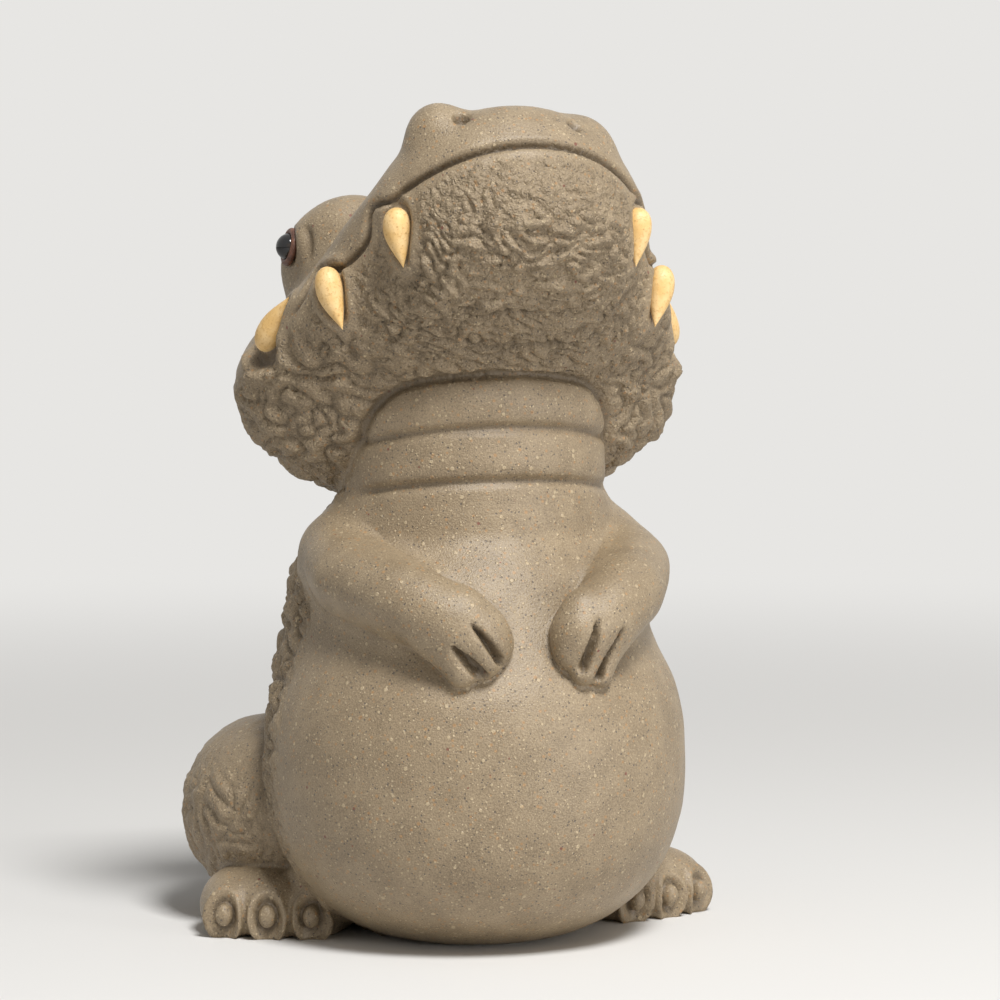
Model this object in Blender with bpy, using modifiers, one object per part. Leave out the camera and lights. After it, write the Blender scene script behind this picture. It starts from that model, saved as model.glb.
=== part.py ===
"""A tea pet: a small fired-clay crocodile that sits up on its round belly, its head thrown back.

Metres, +Z up. The figure faces -Y, and its own right side is at -X. The body is one moulded, hollow
piece. Six teeth of yellow clay and two glazed eyes, each in a ring of brown clay, sit in its sockets.
"""

import math

import bmesh
import bpy
from mathutils import Matrix, Vector, noise
from mathutils.bvhtree import BVHTree

MM = 0.001

# The hollow shell
WALL = 3.5 * MM
VENT_RADIUS = 4.0 * MM
CLEARANCE = 0.3 * MM  # round each tooth, ring and bead

# The belly, a ball turned about the upright axis and cut flat below
BELLY_RADIUS = 21.8 * MM
BELLY_RISE = 19.0 * MM  # from its widest ring to its top
BELLY_MIDDLE = 18.2 * MM  # height of its widest ring
BELLY_SQUARENESS = 2.45  # 2 is an ellipse, more is fuller at the shoulder

# The trunk above and behind the belly: radii to the side, to the front and upwards
CHEST_RADII = (15.0 * MM, 13.0 * MM, 12.0 * MM)
CHEST_AHEAD = 3.0 * MM
CHEST_RISE = 14.6 * MM  # from the belly's widest ring
BACK_RADII = (18.6 * MM, 14.0 * MM, 15.0 * MM)
BACK_BEHIND = 4.5 * MM
BACK_RISE = 14.6 * MM
BACK_SQUARENESS = 2.2
RUMP_RADII = (17.0 * MM, 13.0 * MM, 14.0 * MM)
RUMP_BACK = 11.0 * MM
RUMP_HEIGHT = 12.0 * MM

# The neck, three folds stacked and tilted further back one by one
NECK_RADII = (13.3 * MM, 12.0 * MM)
NECK_BACK = 0.4 * MM
NECK_RISE = 24.0 * MM  # from the belly's widest ring to the lowest fold's foot
FOLD_HEIGHTS = (6.0 * MM, 5.4 * MM, 6.6 * MM)
FOLD_TILTS = (math.radians(9), math.radians(13), math.radians(17))
FOLD_OVERLAP = 0.8 * MM
FOLD_SQUARENESS = 3.0
FOLD_DEPTH = 1.2 * MM  # of the creases between the folds

# The head, laid back. Its places are given out to the side, back from the lip and up from the mouth
HEAD_PITCH = math.radians(42)
THROAT = (21.4 * MM, -9.5 * MM)  # back and up: where the jaw meets the neck
THROAT_INSET = 1.1 * MM  # of that place behind the neck's front
THROAT_SINK = 1.4 * MM  # of that place below the top fold's upper edge
JAW_RADII = (13.9 * MM, 17.0 * MM, 9.8 * MM)
JAW_SQUARENESS = 2.4
CHEEK_RADII = (21.0 * MM, 18.0 * MM, 9.6 * MM)
CHEEK_BACK = 28.0 * MM
JOWL_RADII = (23.7 * MM, 12.5 * MM, 13.0 * MM)
JOWL_BACK = 35.3 * MM
LIP_RADII = (16.4 * MM, 19.2 * MM, 6.0 * MM)
LIP_UP = 2.4 * MM
SNOUT_RADII = (11.7 * MM, 10.5 * MM, 6.2 * MM)
SNOUT_UP = 4.7 * MM
SKULL_RADII = (17.0 * MM, 14.5 * MM, 10.8 * MM)
SKULL_BACK = 29.0 * MM
SKULL_UP = 3.4 * MM
SKULL_SQUARENESS = 2.3
BROW_RADII = (6.6 * MM, 8.4 * MM, 4.8 * MM)
BROW_PLACE = (11.6 * MM, 28.0 * MM, 11.2 * MM)
NOSTRIL_RADIUS = 3.1 * MM
NOSTRIL_PLACE = (7.1 * MM, 4.6 * MM, 7.2 * MM)
NOSTRIL_BORE = 0.8 * MM
NOSTRIL_FACING = Vector((-0.4, -0.35, 0.85))  # of the hole on the figure's left

# The mouth, a groove round the front of the head that rises over the upper teeth
MOUTH_WIDTH = 1.0 * MM
MOUTH_UP = 0.9 * MM  # of the groove above the widest line of the jaw
MOUTH_SWEEP = math.radians(112)  # to each side of the lip, round the middle of the jaw
MOUTH_STATIONS = 45
LIP_WAVE = 1.4 * MM
LIP_WAVE_REACH = 2.4 * MM

# Teeth: back and up from the mouth, width, length, lean of the upper end backwards, and whether it
# stands in the lower jaw with its tip up
TEETH = {
    "front": (10.0 * MM, -2.6 * MM, 2.9 * MM, 6.1 * MM, math.radians(2), False),
    "middle": (18.0 * MM, -2.6 * MM, 3.0 * MM, 6.7 * MM, math.radians(16), False),
    "back": (27.6 * MM, 0.6 * MM, 2.8 * MM, 5.8 * MM, math.radians(-26), True),
}
TOOTH_PROUD = 0.25 * MM  # of its axis above the clay

# Eyes: a bead in a ring on the outer side of each brow
BEAD_RADIUS = 1.4 * MM
RING_THICKNESS = 0.8 * MM
EYE_SUNK = 0.3 * MM
EYE_FACING = Vector((0.97, -0.14, 0.2))  # of the figure's left eye

# Arms, lying on the belly. Degrees round from the front, beyond the belly's radius, above its middle
ARM_RADIUS = 3.8 * MM
ARM_PATH = (
    (92.0, -7.2 * MM, 21.8 * MM),
    (68.0, -5.6 * MM, 19.9 * MM),
    (41.0, -3.9 * MM, 18.1 * MM),
    (26.0, -2.8 * MM, 16.2 * MM),
    (16.5, -2.4 * MM, 14.6 * MM),
)
HAND_RADIUS = 3.2 * MM
FINGER_RADIUS = 1.5 * MM
FINGER_PATHS = (
    ((20.0, -1.9 * MM, 17.4 * MM), (11.5, -1.2 * MM, 13.4 * MM)),
    ((24.5, -1.9 * MM, 15.6 * MM), (15.5, -1.0 * MM, 11.9 * MM)),
    ((30.5, -1.9 * MM, 14.6 * MM), (21.5, -1.1 * MM, 11.3 * MM)),
)
SLIT_PATHS = (((16.8, 16.6 * MM), (9.6, 11.4 * MM)), ((24.0, 15.0 * MM), (15.6, 10.2 * MM)))
SLIT_WIDTH = 1.3 * MM
SLIT_SUNK = 0.25 * MM
SLIT_STATIONS = 7

# Legs: a thigh at each side behind the belly, and a foot under it that turns outwards
THIGH_RADII = (9.4 * MM, 13.0 * MM, 10.0 * MM)
THIGH_BEHIND = 16.0 * MM
THIGH_INSET = 4.4 * MM  # of its middle, and the foot's, within the belly's radius
THIGH_HEIGHT = 11.5 * MM
FOOT_TURN = math.radians(24)
FOOT_RADII = (7.2 * MM, 9.0 * MM, 6.4 * MM)
FOOT_BEHIND = 11.5 * MM
TOE_RADII = (2.6 * MM, 6.0 * MM, 3.5 * MM)
TOE_REACH = 5.4 * MM  # of a toe's middle from the foot's
TOE_SPACING = 4.6 * MM
TOE_HEIGHT = 2.7 * MM
NAIL_RADII = (1.25 * MM, 2.0 * MM)
NAIL_GROOVE = 0.5 * MM
NAIL_STATIONS = 14

# The tail, lying straight back on the ground: behind the belly's axis, height, radius
TAIL_PATH = (
    (12.0 * MM, 13.0 * MM, 11.5 * MM),
    (22.0 * MM, 8.6 * MM, 8.8 * MM),
    (31.0 * MM, 4.8 * MM, 5.4 * MM),
    (38.5 * MM, 2.5 * MM, 2.9 * MM),
)

# The crinkled hide under and behind the mouth, on the thighs and down the back: its largest lumps
HIDE_LUMP = 2.1 * MM
HIDE_HEIGHT = 1.3 * MM
HIDE_LIP = 2.2 * MM  # of smooth clay under the mouth
HIDE_NAPE = 36.0 * MM  # back from the lip, where it comes up over the head
HIDE_BEHIND = 6.0 * MM  # of the belly's axis, where the back's begins
HIDE_FOOT = 6.5 * MM  # of the lowest of it
HIDE_MARGIN = 0.8 * MM  # of it round the masses that it covers

# How finely the masses are run together and the small pieces are turned
CLAY_VOXEL = 0.8 * MM
CLAY_FACES = 7600
CAVITY_VOXEL = 1.8 * MM
CAVITY_FACES = 700
SMOOTHING_STEPS = 4
LIMB_STEPS = 6
DROP_STATIONS = 10
DROP_SIDES = 12
DROP_TAPER = 0.8  # 0 is a ball, more draws the lower end to a longer tip
RING_STATIONS = 24

SIDES = {"left": 1, "right": -1}


def make_collection(name):
    """A collection in the scene."""
    collection = bpy.data.collections.new(name)
    bpy.context.scene.collection.children.link(collection)
    return collection


def make_material(name, colour, roughness):
    """A clay or glaze."""
    material = bpy.data.materials.new(name)
    material.use_nodes = True
    shader = material.node_tree.nodes["Principled BSDF"]
    shader.inputs["Base Color"].default_value = (*colour, 1.0)
    shader.inputs["Roughness"].default_value = roughness
    shader.inputs["Metallic"].default_value = 0.0
    material.diffuse_color = (*colour, 1.0)
    return material


def make_object(name, shape, collection, material=None):
    """An object that takes over a bmesh."""
    mesh = bpy.data.meshes.new(name)
    shape.to_mesh(mesh)
    shape.free()
    mesh.shade_smooth()
    made = bpy.data.objects.new(name, mesh)
    collection.objects.link(made)
    if material:
        mesh.materials.append(material)
    return made


def make_cutter(name, shape, collection):
    """An object that is cut from the body, shown as wires and kept out of pictures."""
    cutter = make_object(name, shape, collection)
    cutter.display_type = "WIRE"
    cutter.hide_render = True
    return cutter


def settle(lump):
    """Turn an object's modifiers into its mesh."""
    graph = bpy.context.evaluated_depsgraph_get()
    mesh = bpy.data.meshes.new_from_object(lump.evaluated_get(graph))
    old = lump.data
    lump.modifiers.clear()
    lump.data = mesh
    bpy.data.meshes.remove(old)


def shape_of(lump):
    """The evaluated shape of a helper object, which is then removed."""
    graph = bpy.context.evaluated_depsgraph_get()
    mesh = bpy.data.meshes.new_from_object(lump.evaluated_get(graph))
    shape = bmesh.new()
    shape.from_mesh(mesh)
    bpy.data.meshes.remove(mesh)
    bpy.data.objects.remove(lump)
    bmesh.ops.remove_doubles(shape, verts=shape.verts, dist=0.001 * MM)
    return shape


def join(shapes):
    """Several closed shapes in one bmesh."""
    joined = bmesh.new()
    for shape in shapes:
        mesh = bpy.data.meshes.new("loose")
        shape.to_mesh(mesh)
        shape.free()
        joined.from_mesh(mesh)
        bpy.data.meshes.remove(mesh)
    return joined


def ball(centre, radii, squareness=2.0, turn=None, segments=40):
    """A round mass, round in plan. Seen from the side it is squarer as squareness goes past 2."""
    shape = bmesh.new()
    bmesh.ops.create_uvsphere(shape, u_segments=segments, v_segments=segments * 5 // 8, radius=1.0)
    turn = turn or Matrix.Identity(3)
    for vertex in shape.verts:
        x, y, z = vertex.co
        length = (math.hypot(x, y) ** squareness + abs(z) ** squareness) ** (1 / squareness)
        stretched = Vector((x * radii[0], y * radii[1], z * radii[2])) / length
        vertex.co = Vector(centre) + turn @ stretched
    return shape


def tube(path, radii, closed=False, resolution=1):
    """A tube along a list of points, with its own radius at each."""
    curve = bpy.data.curves.new("tube", "CURVE")
    curve.dimensions = "3D"
    curve.bevel_depth = MM
    curve.bevel_resolution = resolution
    curve.use_fill_caps = not closed
    spline = curve.splines.new("POLY")
    spline.points.add(len(path) - 1)
    spline.use_cyclic_u = closed
    for knot, place, radius in zip(spline.points, path, radii):
        knot.co = (*place, 1.0)
        knot.radius = radius / MM
    holder = bpy.data.objects.new("tube", curve)
    bpy.context.scene.collection.objects.link(holder)
    return shape_of(holder)


def limb(path, radii):
    """A smooth limb through a few points, with round ends."""
    places = []
    widths = []
    padded = [2 * path[0] - path[1], *path, 2 * path[-1] - path[-2]]
    for index in range(len(path) - 1):
        before, start, end, after = padded[index : index + 4]
        bend = 2 * before - 5 * start + 4 * end - after
        swing = 3 * start - before - 3 * end + after
        for step in range(LIMB_STEPS):
            t = step / LIMB_STEPS
            places.append(start + (end - before + bend * t + swing * t * t) * t / 2)
            widths.append(radii[index] * (1 - t) + radii[index + 1] * t)
    places.append(path[-1])
    widths.append(radii[-1])
    ends = [ball(path[0], [radii[0]] * 3), ball(path[-1], [radii[-1]] * 3)]
    return join([tube(places, widths, resolution=LIMB_STEPS), *ends])


def cut_flat(lump, height):
    """Cut an object off below a height and close it with flat faces."""
    shape = bmesh.new()
    shape.from_mesh(lump.data)
    everything = [*shape.verts, *shape.edges, *shape.faces]
    plane = {"plane_co": (0, 0, height), "plane_no": (0, 0, 1)}
    bmesh.ops.bisect_plane(shape, geom=everything, dist=0.001 * MM, clear_inner=True, **plane)
    rims = [edge for edge in shape.edges if edge.is_boundary]
    bmesh.ops.holes_fill(shape, edges=rims)
    bmesh.ops.triangulate(shape, faces=[face for face in shape.faces if len(face.verts) > 4])
    shape.to_mesh(lump.data)
    shape.free()


def fuse(name, shapes, collection, voxel, faces):
    """Overlapping shapes run together into one skin with soft joins."""
    lump = make_object(name, join(shapes), collection)
    merge = lump.modifiers.new("Merge", "REMESH")
    merge.mode = "VOXEL"
    merge.voxel_size = voxel
    soften = lump.modifiers.new("Soften", "SMOOTH")
    soften.factor = 0.5
    soften.iterations = SMOOTHING_STEPS
    settle(lump)
    thin = lump.modifiers.new("Thin", "DECIMATE")
    thin.ratio = min(1.0, faces / (2 * len(lump.data.polygons)))
    thin.use_symmetry = True
    thin.symmetry_axis = "X"
    settle(lump)
    lump.data.shade_smooth()
    return lump


def grown(radii, extra):
    """Radii that are all larger by the same amount."""
    return [radius + extra for radius in radii]


def mirrored(place, side):
    """A place or direction of the figure's left, or the same on its right."""
    return Vector((side * place[0], place[1], place[2]))


def round_belly(degrees, beyond, rise, side=1):
    """A place round the belly's axis, from the front."""
    angle = math.radians(degrees)
    reach = BELLY_RADIUS + beyond
    return Vector((side * reach * math.sin(angle), -reach * math.cos(angle), BELLY_MIDDLE + rise))


def lean_back(angle):
    """A turn about the side-to-side axis that lifts the front."""
    return Matrix.Rotation(-angle, 3, "X")


def neck_top():
    """Height of the top fold's upper edge at the front."""
    return BELLY_MIDDLE + NECK_RISE + sum(FOLD_HEIGHTS)


def on_head(side, back, up):
    """A place on the head: out to the side, back from the lip and up from the mouth."""
    throat = Vector((0, NECK_BACK - NECK_RADII[1] + THROAT_INSET, neck_top() - THROAT_SINK))
    return throat + lean_back(HEAD_PITCH) @ Vector((side, back - THROAT[0], up - THROAT[1]))


def trunk(extra=0.0):
    """The belly, chest, rump and back, each grown or shrunk by the same amount."""
    belly_radii = (BELLY_RADIUS, BELLY_RADIUS, BELLY_RISE)
    masses = [ball((0, 0, BELLY_MIDDLE), grown(belly_radii, extra), BELLY_SQUARENESS)]
    masses.append(ball((0, -CHEST_AHEAD, BELLY_MIDDLE + CHEST_RISE), grown(CHEST_RADII, extra)))
    masses.append(ball((0, RUMP_BACK, RUMP_HEIGHT), grown(RUMP_RADII, extra)))
    back = (0, BACK_BEHIND, BELLY_MIDDLE + BACK_RISE)
    masses.append(ball(back, grown(BACK_RADII, extra), BACK_SQUARENESS))
    return masses


def neck():
    """The folds of the neck, from the chest up to the throat."""
    masses = []
    foot = BELLY_MIDDLE + NECK_RISE
    for height, angle in zip(FOLD_HEIGHTS, FOLD_TILTS):
        front = Vector((0, NECK_BACK - NECK_RADII[1], foot + height / 2))
        middle = front + lean_back(angle) @ Vector((0, NECK_RADII[1], 0))
        radii = (*NECK_RADII, height / 2 + FOLD_OVERLAP)
        masses.append(ball(middle, radii, FOLD_SQUARENESS, lean_back(angle)))
        foot += height
    return masses


def head(extra=0.0):
    """The jaw, cheeks, jowls, lip, skull and snout, each grown or shrunk by the same amount."""
    pitch = lean_back(HEAD_PITCH)
    jaw = on_head(0, JAW_RADII[1], 0)
    masses = [ball(jaw, grown(JAW_RADII, extra), JAW_SQUARENESS, pitch)]
    masses.append(ball(on_head(0, CHEEK_BACK, 0), grown(CHEEK_RADII, extra), turn=pitch))
    masses.append(ball(on_head(0, JOWL_BACK, 0), grown(JOWL_RADII, extra)))
    masses.append(ball(on_head(0, LIP_RADII[1], LIP_UP), grown(LIP_RADII, extra), turn=pitch))
    skull = on_head(0, SKULL_BACK, SKULL_UP)
    masses.append(ball(skull, grown(SKULL_RADII, extra), SKULL_SQUARENESS, pitch))
    snout = on_head(0, SNOUT_RADII[1], SNOUT_UP)
    masses.append(ball(snout, grown(SNOUT_RADII, extra), turn=pitch))
    return masses


def head_knobs():
    """The brows that carry the eyes, and the nostrils."""
    pitch = lean_back(HEAD_PITCH)
    masses = []
    for side in SIDES.values():
        masses.append(ball(on_head(*mirrored(BROW_PLACE, side)), BROW_RADII, turn=pitch))
        masses.append(ball(on_head(*mirrored(NOSTRIL_PLACE, side)), [NOSTRIL_RADIUS] * 3))
    return masses


def arms():
    """Both arms, each with a hand of three fingers."""
    masses = []
    for side in SIDES.values():
        path = [round_belly(*place, side) for place in ARM_PATH]
        masses.append(limb(path, [ARM_RADIUS] * (len(path) - 1) + [HAND_RADIUS]))
        for finger in FINGER_PATHS:
            ends = [round_belly(*place, side) for place in finger]
            masses.append(limb(ends, [FINGER_RADIUS] * 2))
    return masses


def foot_turn(side):
    """The outward turn of one foot."""
    return Matrix.Rotation(side * FOOT_TURN, 3, "Z")


def foot_place(side):
    """The middle of one foot, on the ground."""
    return Vector((side * (BELLY_RADIUS - THIGH_INSET), FOOT_BEHIND, 0))


def toe_places(side):
    """The middle of each toe of one foot."""
    steps = (-1, 0, 1)
    reach = [Vector((step * TOE_SPACING, -TOE_REACH, TOE_HEIGHT)) for step in steps]
    return [foot_place(side) + foot_turn(side) @ place for place in reach]


def legs():
    """Thighs, feet and toes."""
    masses = []
    for side in SIDES.values():
        thigh = (side * (BELLY_RADIUS - THIGH_INSET), THIGH_BEHIND, THIGH_HEIGHT)
        masses.append(ball(thigh, THIGH_RADII))
        masses.append(ball(foot_place(side), FOOT_RADII, turn=foot_turn(side)))
        masses += [ball(place, TOE_RADII, turn=foot_turn(side)) for place in toe_places(side)]
    return masses


def tail():
    """The tail, thick at its root."""
    path = [Vector((0, behind, height)) for behind, height, _ in TAIL_PATH]
    return limb(path, [radius for _, _, radius in TAIL_PATH])


def lies_in(place, centre, radii, turn=None):
    """Whether a place lies in a round mass or its margin."""
    local = place - Vector(centre)
    if turn:
        local = turn.inverted() @ local
    return sum((part / radius) ** 2 for part, radius in zip(local, grown(radii, HIDE_MARGIN))) < 1


def is_hide(place):
    """Whether the clay is crinkled there."""
    pitch = lean_back(HEAD_PITCH)
    _, back, up = pitch.inverted() @ (place - on_head(0, 0, 0))
    in_jaw = lies_in(place, on_head(0, JAW_RADII[1], 0), JAW_RADII, pitch)
    in_cheek = lies_in(place, on_head(0, CHEEK_BACK, 0), CHEEK_RADII, pitch)
    if in_jaw or in_cheek or lies_in(place, on_head(0, JOWL_BACK, 0), JOWL_RADII):
        return up < -HIDE_LIP or back > HIDE_NAPE
    if place.z > neck_top() or place.z < HIDE_FOOT:
        return False
    for side in SIDES.values():
        if lies_in(place, foot_place(side), FOOT_RADII, foot_turn(side)):
            return False
        if lies_in(place, (side * (BELLY_RADIUS - THIGH_INSET), THIGH_BEHIND, THIGH_HEIGHT), THIGH_RADII):
            return True
    return place.y > HIDE_BEHIND


def crinkle(lump):
    """Raise and sink the points of the hide along the skin's own facing, alike on both sides."""
    shape = bmesh.new()
    shape.from_mesh(lump.data)
    shape.normal_update()
    for vertex in shape.verts:
        if is_hide(vertex.co):
            x, y, z = vertex.co
            rise = noise.noise(Vector((abs(x), y, z)) / HIDE_LUMP)
            vertex.co += vertex.normal * HIDE_HEIGHT * rise
    shape.to_mesh(lump.data)
    shape.free()


def cavity(collection):
    """The hollow: the trunk and head drawn in by the wall, a passage up the neck, a flat floor."""
    passage = NECK_RADII[1] - WALL - FOLD_DEPTH
    belly = Vector((0, 0, BELLY_MIDDLE))
    throat = Vector((0, NECK_BACK, neck_top()))
    middles = [belly, throat, on_head(0, JOWL_BACK, 0)]
    masses = trunk(-WALL) + head(-WALL) + [limb(middles, [passage] * 3)]
    hollow = fuse("cavity", masses, collection, CAVITY_VOXEL, CAVITY_FACES)
    cut_flat(hollow, WALL)
    hollow.display_type = "WIRE"
    hollow.hide_render = True


def vent():
    """The hole through the base that lets steam out of the hollow as the clay is fired."""
    shape = bmesh.new()
    size = {"radius1": VENT_RADIUS, "radius2": VENT_RADIUS, "depth": 4 * WALL}
    bmesh.ops.create_cone(shape, segments=32, cap_ends=True, **size)
    return shape


def skin_tree(lump):
    """A search tree over an object's skin."""
    shape = bmesh.new()
    shape.from_mesh(lump.data)
    tree = BVHTree.FromBMesh(shape)
    shape.free()
    return tree


def on_skin(skin, inside, outward):
    """Where the skin is met from far outside, looking back at a place, and its facing there."""
    outward = outward.normalized()
    reach = 4 * BELLY_RADIUS
    place, facing, _, _ = skin.ray_cast(inside + outward * reach, -outward)
    return place, facing


def back_from_lip(place):
    """How far back along the head a place lies."""
    return (lean_back(HEAD_PITCH).inverted() @ (place - on_head(0, 0, 0))).y


def mouth_groove(skin):
    """A tube round the head at the height of the mouth, raised over each tooth of the upper jaw."""
    upper_teeth = [tooth[0] for tooth in TEETH.values() if not tooth[5]]
    path = []
    for station in range(MOUTH_STATIONS):
        angle = MOUTH_SWEEP * (2 * station / (MOUTH_STATIONS - 1) - 1)
        outward = lean_back(HEAD_PITCH) @ Vector((math.sin(angle), -math.cos(angle), 0))
        level, _ = on_skin(skin, on_head(0, JAW_RADII[1], 0), outward)
        away = [(back_from_lip(level) - back) / LIP_WAVE_REACH for back in upper_teeth]
        rise = LIP_WAVE * sum(math.exp(-offset * offset) for offset in away)
        path.append(on_skin(skin, on_head(0, JAW_RADII[1], MOUTH_UP + rise), outward)[0])
    return tube(path, [MOUTH_WIDTH / 2] * len(path))


def finger_slit(skin, ends, side):
    """A short groove between two fingers."""
    (start_angle, start_rise), (end_angle, end_rise) = ends
    shares = [step / (SLIT_STATIONS - 1) for step in range(SLIT_STATIONS)]
    path = []
    for share in shares:
        angle = start_angle + share * (end_angle - start_angle)
        rise = start_rise + share * (end_rise - start_rise)
        middle = Vector((0, 0, BELLY_MIDDLE + rise))
        outward = round_belly(angle, 0, rise, side) - middle
        path.append(on_skin(skin, middle, outward)[0] - outward.normalized() * SLIT_SUNK)
    return tube(path, [SLIT_WIDTH / 4 * (1 + math.sin(math.pi * share)) for share in shares])


def nail_ring(skin, toe, side):
    """An oval groove round a toenail."""
    forward = foot_turn(side) @ Vector((0, -1, 0))
    across = foot_turn(side) @ Vector((1, 0, 0))
    path = []
    for step in range(NAIL_STATIONS):
        angle = 2 * math.pi * step / NAIL_STATIONS
        aside = across * NAIL_RADII[0] * math.cos(angle)
        above = Vector((0, 0, NAIL_RADII[1] * math.sin(angle)))
        path.append(on_skin(skin, toe + aside + above, forward)[0])
    return tube(path, [NAIL_GROOVE / 2] * NAIL_STATIONS, closed=True)


def seat_frame(place, facing, upward):
    """A frame on the skin: y out of it, and z along it as near to upward as it goes."""
    up = (upward - facing * upward.dot(facing)).normalized()
    frame = Matrix((facing.cross(up), facing, up)).transposed().to_4x4()
    frame.translation = place
    return frame


def placed(shape, frame):
    """A shape moved to its place."""
    bmesh.ops.transform(shape, matrix=frame, verts=shape.verts)
    return shape


def drop(width, length):
    """A tear-shaped drop turned about its own axis, its round end up."""
    angles = [math.pi * step / DROP_STATIONS for step in range(DROP_STATIONS + 1)]
    swell = [math.sin(angle) * math.cos(angle / 2) ** DROP_TAPER for angle in angles]
    shape = bmesh.new()
    rim = []
    for angle, part in zip(angles, swell):
        radius = width / 2 * part / max(swell)
        rim.append(shape.verts.new((radius, 0, length / 2 * math.cos(angle))))
    rim[0].co.x = 0
    rim[-1].co.x = 0
    for upper, lower in zip(rim, rim[1:]):
        shape.edges.new((upper, lower))
    holder = make_object("drop", shape, bpy.context.scene.collection)
    spin = holder.modifiers.new("Turn", "SCREW")
    spin.steps = DROP_SIDES
    spin.render_steps = DROP_SIDES
    spin.use_merge_vertices = True
    spin.merge_threshold = 0.01 * MM
    return shape_of(holder)


def add_teeth(skin, figure, cutters, clay):
    """Six drops, each half sunk in a socket of its own shape."""
    for row, (back, up, width, length, lean, points_up) in TEETH.items():
        for word, side in SIDES.items():
            place, facing = on_skin(skin, on_head(0, back, up), Vector((side, 0, 0)))
            upward = Vector((0, math.sin(lean), math.cos(lean))) * (-1 if points_up else 1)
            frame = seat_frame(place + facing * TOOTH_PROUD, facing, upward)
            socket = drop(width + 2 * CLEARANCE, length + 3 * CLEARANCE)
            make_object(f"tooth_{row}_{word}", placed(drop(width, length), frame), figure, clay)
            make_cutter(f"socket_{row}_{word}", placed(socket, frame), cutters)


def add_eyes(skin, figure, cutters, ring_clay, glaze):
    """A glazed bead in a ring on each brow, sunk in a round socket."""
    tube_radius = RING_THICKNESS / 2
    middle_radius = BEAD_RADIUS + CLEARANCE + tube_radius
    for word, side in SIDES.items():
        outward = mirrored(EYE_FACING, side)
        place, facing = on_skin(skin, on_head(*mirrored(BROW_PLACE, side)), outward)
        frame = seat_frame(place - facing * EYE_SUNK, facing, Vector((0, 0, 1)))
        upright = frame @ Matrix.Rotation(math.pi / 2, 4, "X")
        circle = [2 * math.pi * step / RING_STATIONS for step in range(RING_STATIONS)]
        path = [place_on_ring(upright, middle_radius, angle) for angle in circle]
        ring = tube(path, [tube_radius] * len(path), closed=True)
        make_object(f"eye_ring_{word}", ring, figure, ring_clay)
        bead = ball(frame.translation, [BEAD_RADIUS] * 3, segments=20)
        make_object(f"eye_bead_{word}", bead, figure, glaze)
        rim = bmesh.new()
        outer = middle_radius + tube_radius + CLEARANCE
        size = {"radius1": outer, "radius2": outer, "depth": 2 * (tube_radius + CLEARANCE)}
        bmesh.ops.create_cone(rim, segments=RING_STATIONS, cap_ends=True, **size)
        make_cutter(f"socket_ring_{word}", placed(rim, upright), cutters)
        bowl = ball(frame.translation, [BEAD_RADIUS + CLEARANCE] * 3, segments=16)
        make_cutter(f"socket_bead_{word}", bowl, cutters)


def place_on_ring(frame, radius, angle):
    """A place round a frame's own upright axis."""
    return frame @ Vector((radius * math.cos(angle), radius * math.sin(angle), 0))


def add_carving(skin, cutters):
    """The cutters of the mouth, the fingers, the nails and the nostrils."""
    make_cutter("mouth", mouth_groove(skin), cutters)
    for word, side in SIDES.items():
        for index, ends in enumerate(SLIT_PATHS):
            make_cutter(f"slit_{index}_{word}", finger_slit(skin, ends, side), cutters)
        for index, toe in enumerate(toe_places(side)):
            make_cutter(f"nail_{index}_{word}", nail_ring(skin, toe, side), cutters)
        bump = on_head(*mirrored(NOSTRIL_PLACE, side))
        place, _ = on_skin(skin, bump, mirrored(NOSTRIL_FACING, side))
        make_cutter(f"nostril_{word}", ball(place, [NOSTRIL_BORE] * 3, segments=10), cutters)


def stand_on_origin(figure):
    """Hang every piece on an empty that puts the middle of the figure's box over the origin."""
    graph = bpy.context.evaluated_depsgraph_get()
    boxes = [piece.evaluated_get(graph).bound_box for piece in figure.objects]
    spans = [[corner[axis] for box in boxes for corner in box] for axis in (0, 1)]
    middle = [(min(span) + max(span)) / 2 for span in spans]
    base = bpy.data.objects.new("base", None)
    base.location = (-middle[0], -middle[1], 0)
    bpy.context.scene.collection.objects.link(base)
    for piece in [thing for thing in bpy.data.objects if thing.type == "MESH"]:
        piece.parent = base


def build():
    """The whole figure."""
    for old in list(bpy.data.objects):
        bpy.data.objects.remove(old)
    figure = make_collection("tea_pet")
    cutters = make_collection("cutters")
    stoneware = make_material("stoneware", (0.30, 0.225, 0.14), 0.62)
    yellow = make_material("yellow_clay", (0.80, 0.57, 0.28), 0.5)
    brown = make_material("brown_clay", (0.16, 0.065, 0.035), 0.55)
    glaze = make_material("black_glaze", (0.012, 0.012, 0.012), 0.08)

    masses = trunk() + neck() + head() + head_knobs() + arms() + legs() + [tail()]
    body = fuse("body", masses, figure, CLAY_VOXEL, CLAY_FACES)
    body.data.materials.clear()
    body.data.materials.append(stoneware)
    skin = skin_tree(body)
    crinkle(body)
    cut_flat(body, 0.0)

    cavity(cutters)
    make_cutter("vent", vent(), cutters)
    add_carving(skin, cutters)
    add_teeth(skin, figure, cutters, yellow)
    add_eyes(skin, figure, cutters, brown, glaze)
    cut = body.modifiers.new("Hollow and carving", "BOOLEAN")
    cut.operation = "DIFFERENCE"
    cut.solver = "EXACT"
    cut.operand_type = "COLLECTION"
    cut.collection = cutters
    stand_on_origin(figure)


build()
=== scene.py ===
"""The looks of a crocodile tea pet in speckled stoneware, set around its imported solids.

The clay skin is worked out in millimetres from the belly's upright axis on the ground, with the front
at -Y. Round masses are laid down as grids, run together into one skin, drawn onto a smooth distance
from all of them, and then carved and crinkled along that distance's own slope.
"""

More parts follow.
